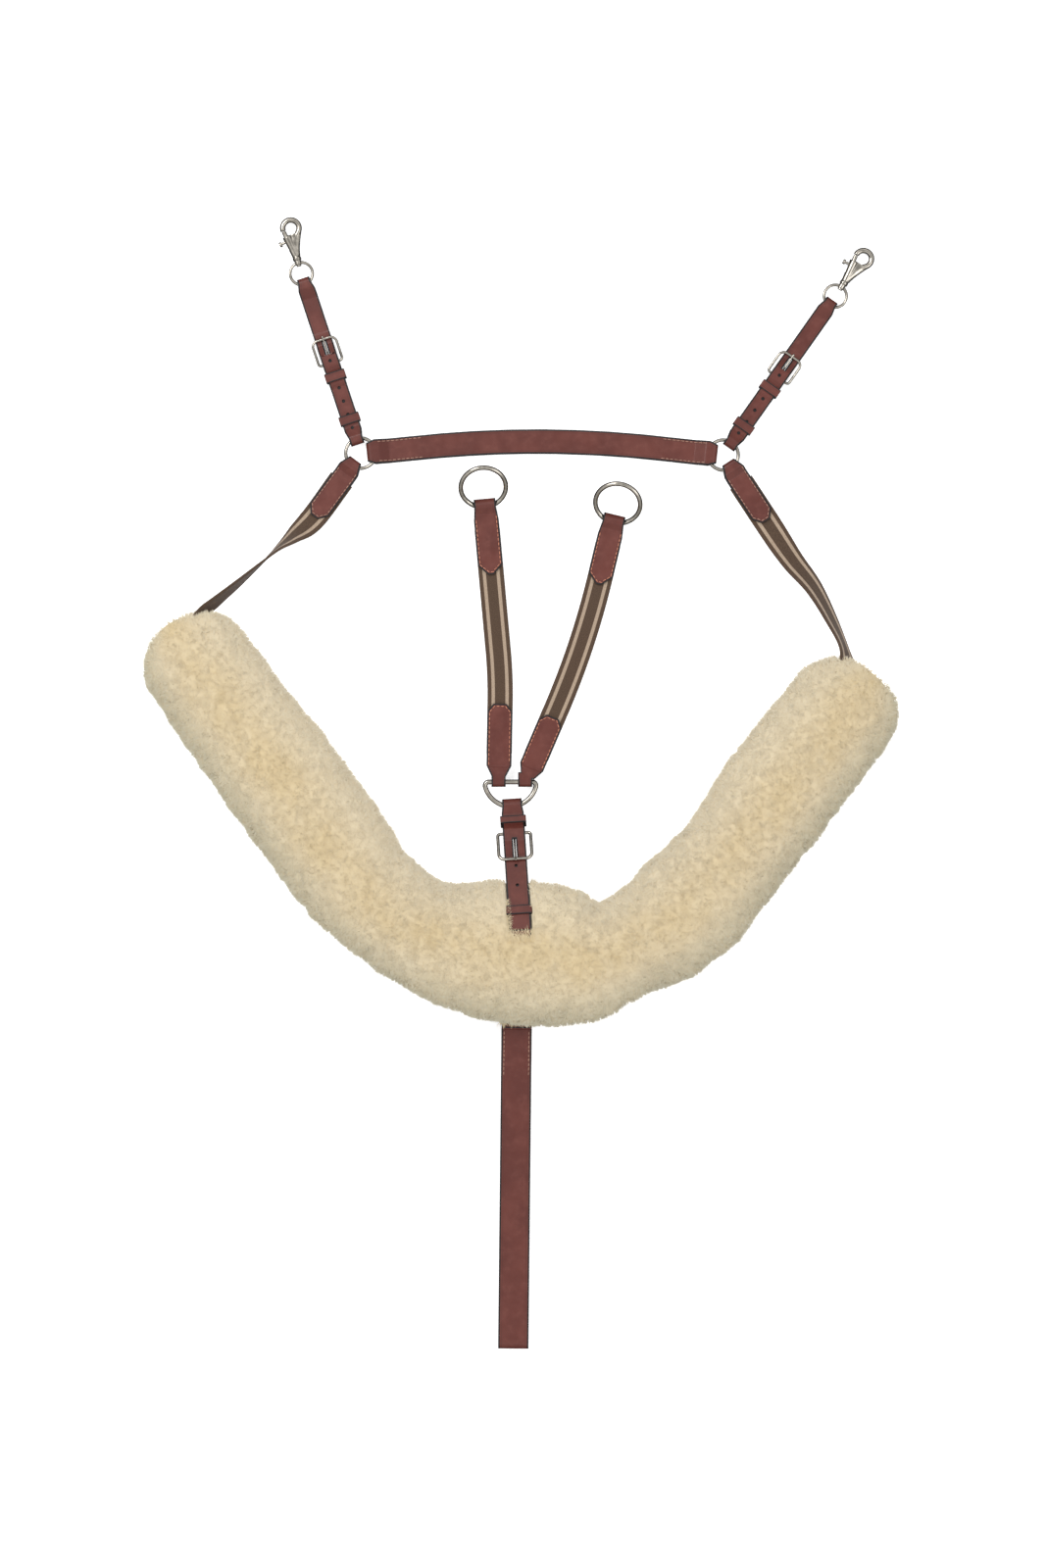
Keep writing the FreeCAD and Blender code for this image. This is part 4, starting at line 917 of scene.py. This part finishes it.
# For each shoulder: the tab's heading; the elastic's height and tilt where it leaves the tab; rows of
# x, y, z and tilt from there, in millimetres and degrees; and where it bends as the neck folds.
SHOULDERS = {
    "left": (233.6, (3.6, 10), (
        (-213, 226, 9.5, 53), (-225, 216, 13.5, 75), (-238, 204, 18, 86), (-260, 184, 24.5, 98),
        (-281, 166, 30, 107), (-291, 157, 31, 114), (-295, 144, 32, 140), (-292, 124, 33, 170),
        (-290, 106, 33.6, 180),
    ), (-287, 163, 30)),
    "right": (-56.7, (3.45, 0), (
        (247, 206, 12, -24), (266.5, 180, 20, -44), (282, 151, 26, -58), (294.3, 122.4, 30, -66),
        (297, 98, 33, -30), (293, 70, 33.6, 0),
    ), (294.3, 124.5, 30)),
}


def make_shoulder(side):
    """A shoulder tab, and the elastic that twists on its way from it into the sheepskin."""
    heading, leaving, bends, hinge = SHOULDERS[side]
    low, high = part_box(side + "_top_ring")
    ring = StrapFrame((low + high) / 2, heading)
    tab = leather_piece(side + "_shoulder_tab", TAB_THICK)
    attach(tab, "collar")
    stitches.sew(tab, "collar", tab_seam(ring, SHOULDER_TIP, 10.5, 20, 8, 4), PALE_THREAD)
    start = ring.point(30) / MM
    leave = ring.point(SHOULDER_TIP + 2) / MM
    rows = [(start.x, start.y, 3.45, 0), (leave.x, leave.y, *leaving), *bends]
    webbing = ribbon(side + "_shoulder_webbing", spline(rows, 14), *SHOULDER_WEB)
    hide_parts(side + "_shoulder_elastic", side + "_elastic_end")
    hinge = Vector(hinge)
    reach = UP.cross(Vector(JOINTS["neck_fold"]["axis"])) * 14
    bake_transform(webbing, "collar", "chest", (hinge + reach) * MM, (hinge - reach) * MM)


def make_collar():
    """The wither strap and its lining, and the two shoulders."""
    wither = leather_piece("wither_strap", WITHER_THICK)
    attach(wither, "collar")
    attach(leather_piece("wither_lining", WITHER_THICK), "collar")
    for side in SHOULDERS:
        make_shoulder(side)
    ends = [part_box("left_top_ring"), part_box("right_top_ring")]
    left, right = ((low + high) / 2 for low, high in ends)
    across = right - left
    lean = math.degrees(math.atan2(across.y, across.x))
    for ring, heading in ((left, lean + 6.0), (right, lean + 180 - 6.0)):
        end = StrapFrame(ring, heading)
        for v in (-8.9, 8.9):
            stitches.sew(wither, "collar", [end.point(18, v), end.point(58, v)], PALE_THREAD)


def make_fork():
    for node in ("fork_strap", "fork_strap_anchor"):
        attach(leather_piece(node, FORK_THICK, fork.w), BODY_OF[node])
    make_keeper("fork_fixed_keeper", fork.w)
    make_keeper("fork_sliding_keeper", fork.w)


ARM_WALKS = {
    "left": Walk(-22.5, 1.0, 88.9).step(72).step(*arc(450, 6.3)).step(134),
    "right": Walk(2.0, 1.0, 66.8).step(74).step(*arc(745, 9.8)).step(53),
}
ARM_TIPS = {"left": (72.0, 64.0), "right": (65.0, 60.0)}


def make_arm(side):
    """One martingale arm: its elastic and the sewn tab at each end, reaching from there to its tip."""
    walk = ARM_WALKS[side]
    body = side + "_arm"
    lower_tip, upper_tip = ARM_TIPS[side]
    lower = leather_piece(side + "_lower_tab", TAB_THICK)
    upper = leather_piece(side + "_upper_tab", TAB_THICK)
    x, y, heading = walk.at(0)
    strap = StrapFrame(Vector((x, y, ARM_HEIGHT)) * MM, heading)
    seam = tab_seam(strap, lower_tip, 11.5, 17, 7, 6)
    stitches.sew(lower, body, seam)
    x, y, heading = walk.at(walk.length())
    strap = StrapFrame(Vector((x, y, ARM_HEIGHT)) * MM, heading + 180)
    seam = tab_seam(strap, upper_tip, 11.5, 12, 9, 2.5)
    stitches.sew(upper, body, seam)
    rows = [(*walk.at(d)[:2], ARM_HEIGHT, 0.0) for d in np.linspace(26, walk.length() - 22, 60)]
    webbing = ribbon(side + "_arm_webbing", rows, *ARM_WEB)
    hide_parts(side + "_arm_elastic")
    for piece in (lower, upper, webbing):
        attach(piece, body)


def make_girth():
    """The girth strap with its loop parts, and the piece of strap that bends where it folds."""
    girth = StrapFrame(JOINTS["girth_fold"]["pos_m"], heading_of("girth_fold"))
    strap = leather_piece("girth_strap", GIRTH_THICK)
    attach(strap, "girth")
    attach(leather_piece("girth_chape", CHAPE_THICK), "girth")
    make_keeper("girth_keeper")
    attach(leather_piece("girth_strap_anchor", GIRTH_THICK), "chest")
    half, thick = GIRTH_HALF, GIRTH_BRIDGE_HALF_THICK
    outline = [(-half, -thick), (half, -thick), (half, thick), (-half, thick)]
    steps = range(-8, 9, 2)
    rings = [girth.point(u, v, w) for u in steps for v, w in outline]
    faces = [(0, 3, 2, 1), tuple(len(rings) - 4 + k for k in range(4))]
    for ring in range(len(steps) - 1):
        for k in range(4):
            a, b = ring * 4 + k, ring * 4 + (k + 1) % 4
            faces.append((a, b, b + 4, a + 4))
    bridge = new_object("girth_hinge_leather", rings, faces, LEATHER)
    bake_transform(bridge, "chest", "girth", girth.point(-5), girth.point(5))
    for v in (-11.4, 11.4):
        stitches.sew(strap, "girth", [girth.point(3, v), girth.point(40, v)], PALE_THREAD)


# ---- studio --------------------------------------------------------------------------------------
def area_light(name, place, target, size, power):
    light = bpy.data.lights.new(name, "AREA")
    light.shape = "RECTANGLE"
    light.size, light.size_y = size
    light.energy = power
    obj = bpy.data.objects.new(name, light)
    obj.location = place
    obj.rotation_euler = (Vector(target) - Vector(place)).to_track_quat("-Z", "Y").to_euler()
    bpy.context.scene.collection.objects.link(obj)


def make_floor():
    """A pale floor that glows a little to the camera and stays dark in the metal's reflections."""
    white = Shader("floor_white")
    rays = white.tree.nodes.new("ShaderNodeLightPath").outputs
    pale = white.mix(rays["Is Glossy Ray"], (0.9, 0.9, 0.9, 1), (0.07, 0.07, 0.07, 1))
    white.set(Base_Color=pale, Roughness=0.9, Specular_IOR_Level=0.1)
    glow = white.math("MULTIPLY", rays["Is Camera Ray"], 0.6)
    white.set(Emission_Color=(1, 1, 1, 1), Emission_Strength=glow)
    half = 6
    corners = [(-half, -half, 0), (half, -half, 0), (half, half, 0), (-half, half, 0)]
    new_object("floor", corners, [(0, 1, 2, 3)], white.material)


def make_world():
    """Light from a sky that is dark low down and dimmer overhead, but white to the camera."""
    world = bpy.data.worlds.new("studio")
    world.use_nodes = True
    tree = world.node_tree
    parts = tree.nodes.new("ShaderNodeSeparateXYZ")
    tree.links.new(tree.nodes.new("ShaderNodeTexCoord").outputs["Generated"], parts.inputs[0])
    strength = tree.nodes.new("ShaderNodeMath")
    strength.operation = "MULTIPLY"
    from_horizon, overhead = (0.1, 0.7, 0.05, 1.25), (0.88, 0.985, 1.0, 0.5)
    for socket, limits in zip(strength.inputs, (from_horizon, overhead)):
        ramp = tree.nodes.new("ShaderNodeMapRange")
        for end, value in zip(ramp.inputs[1:5], limits):
            end.default_value = value
        tree.links.new(parts.outputs["Z"], ramp.inputs[0])
        tree.links.new(ramp.outputs[0], socket)
    seen = tree.nodes.new("ShaderNodeMath")
    seen.operation = "MAXIMUM"
    tree.links.new(strength.outputs[0], seen.inputs[0])
    tree.links.new(tree.nodes.new("ShaderNodeLightPath").outputs["Is Camera Ray"], seen.inputs[1])
    background = tree.nodes["Background"]
    background.inputs[0].default_value = (1, 1, 1, 1)
    tree.links.new(seen.outputs[0], background.inputs[1])
    bpy.context.scene.world = world


def make_camera():
    """A long lens straight above the middle of the part."""
    camera = bpy.data.cameras.new("camera")
    camera.lens = 85
    camera.sensor_fit = "VERTICAL"
    camera.sensor_height = 36
    eye = bpy.data.objects.new("camera", camera)
    eye.location = (0, -0.0009, 3.42)
    bpy.context.scene.collection.objects.link(eye)
    bpy.context.scene.camera = eye
    bpy.context.scene.view_settings.view_transform = "Standard"
    bpy.context.scene.view_settings.look = "None"


def make_studio():
    make_floor()
    make_world()
    area_light("key", (-1.3, 1.4, 2.4), (0, 0, 0), (1.4, 1.0), 38)
    area_light("fill", (1.7, -0.6, 2.2), (0, 0, 0), (1.6, 1.2), 14)
    make_camera()


dress_kept_nodes()
for name in ("left", "right"):
    make_saddle_side(name)
    make_snap(name)
    make_arm(name)
make_collar()
make_fork()
make_girth()
stitches.finish()
make_fleece_backing()
make_pile(FIBRES)
make_studio()
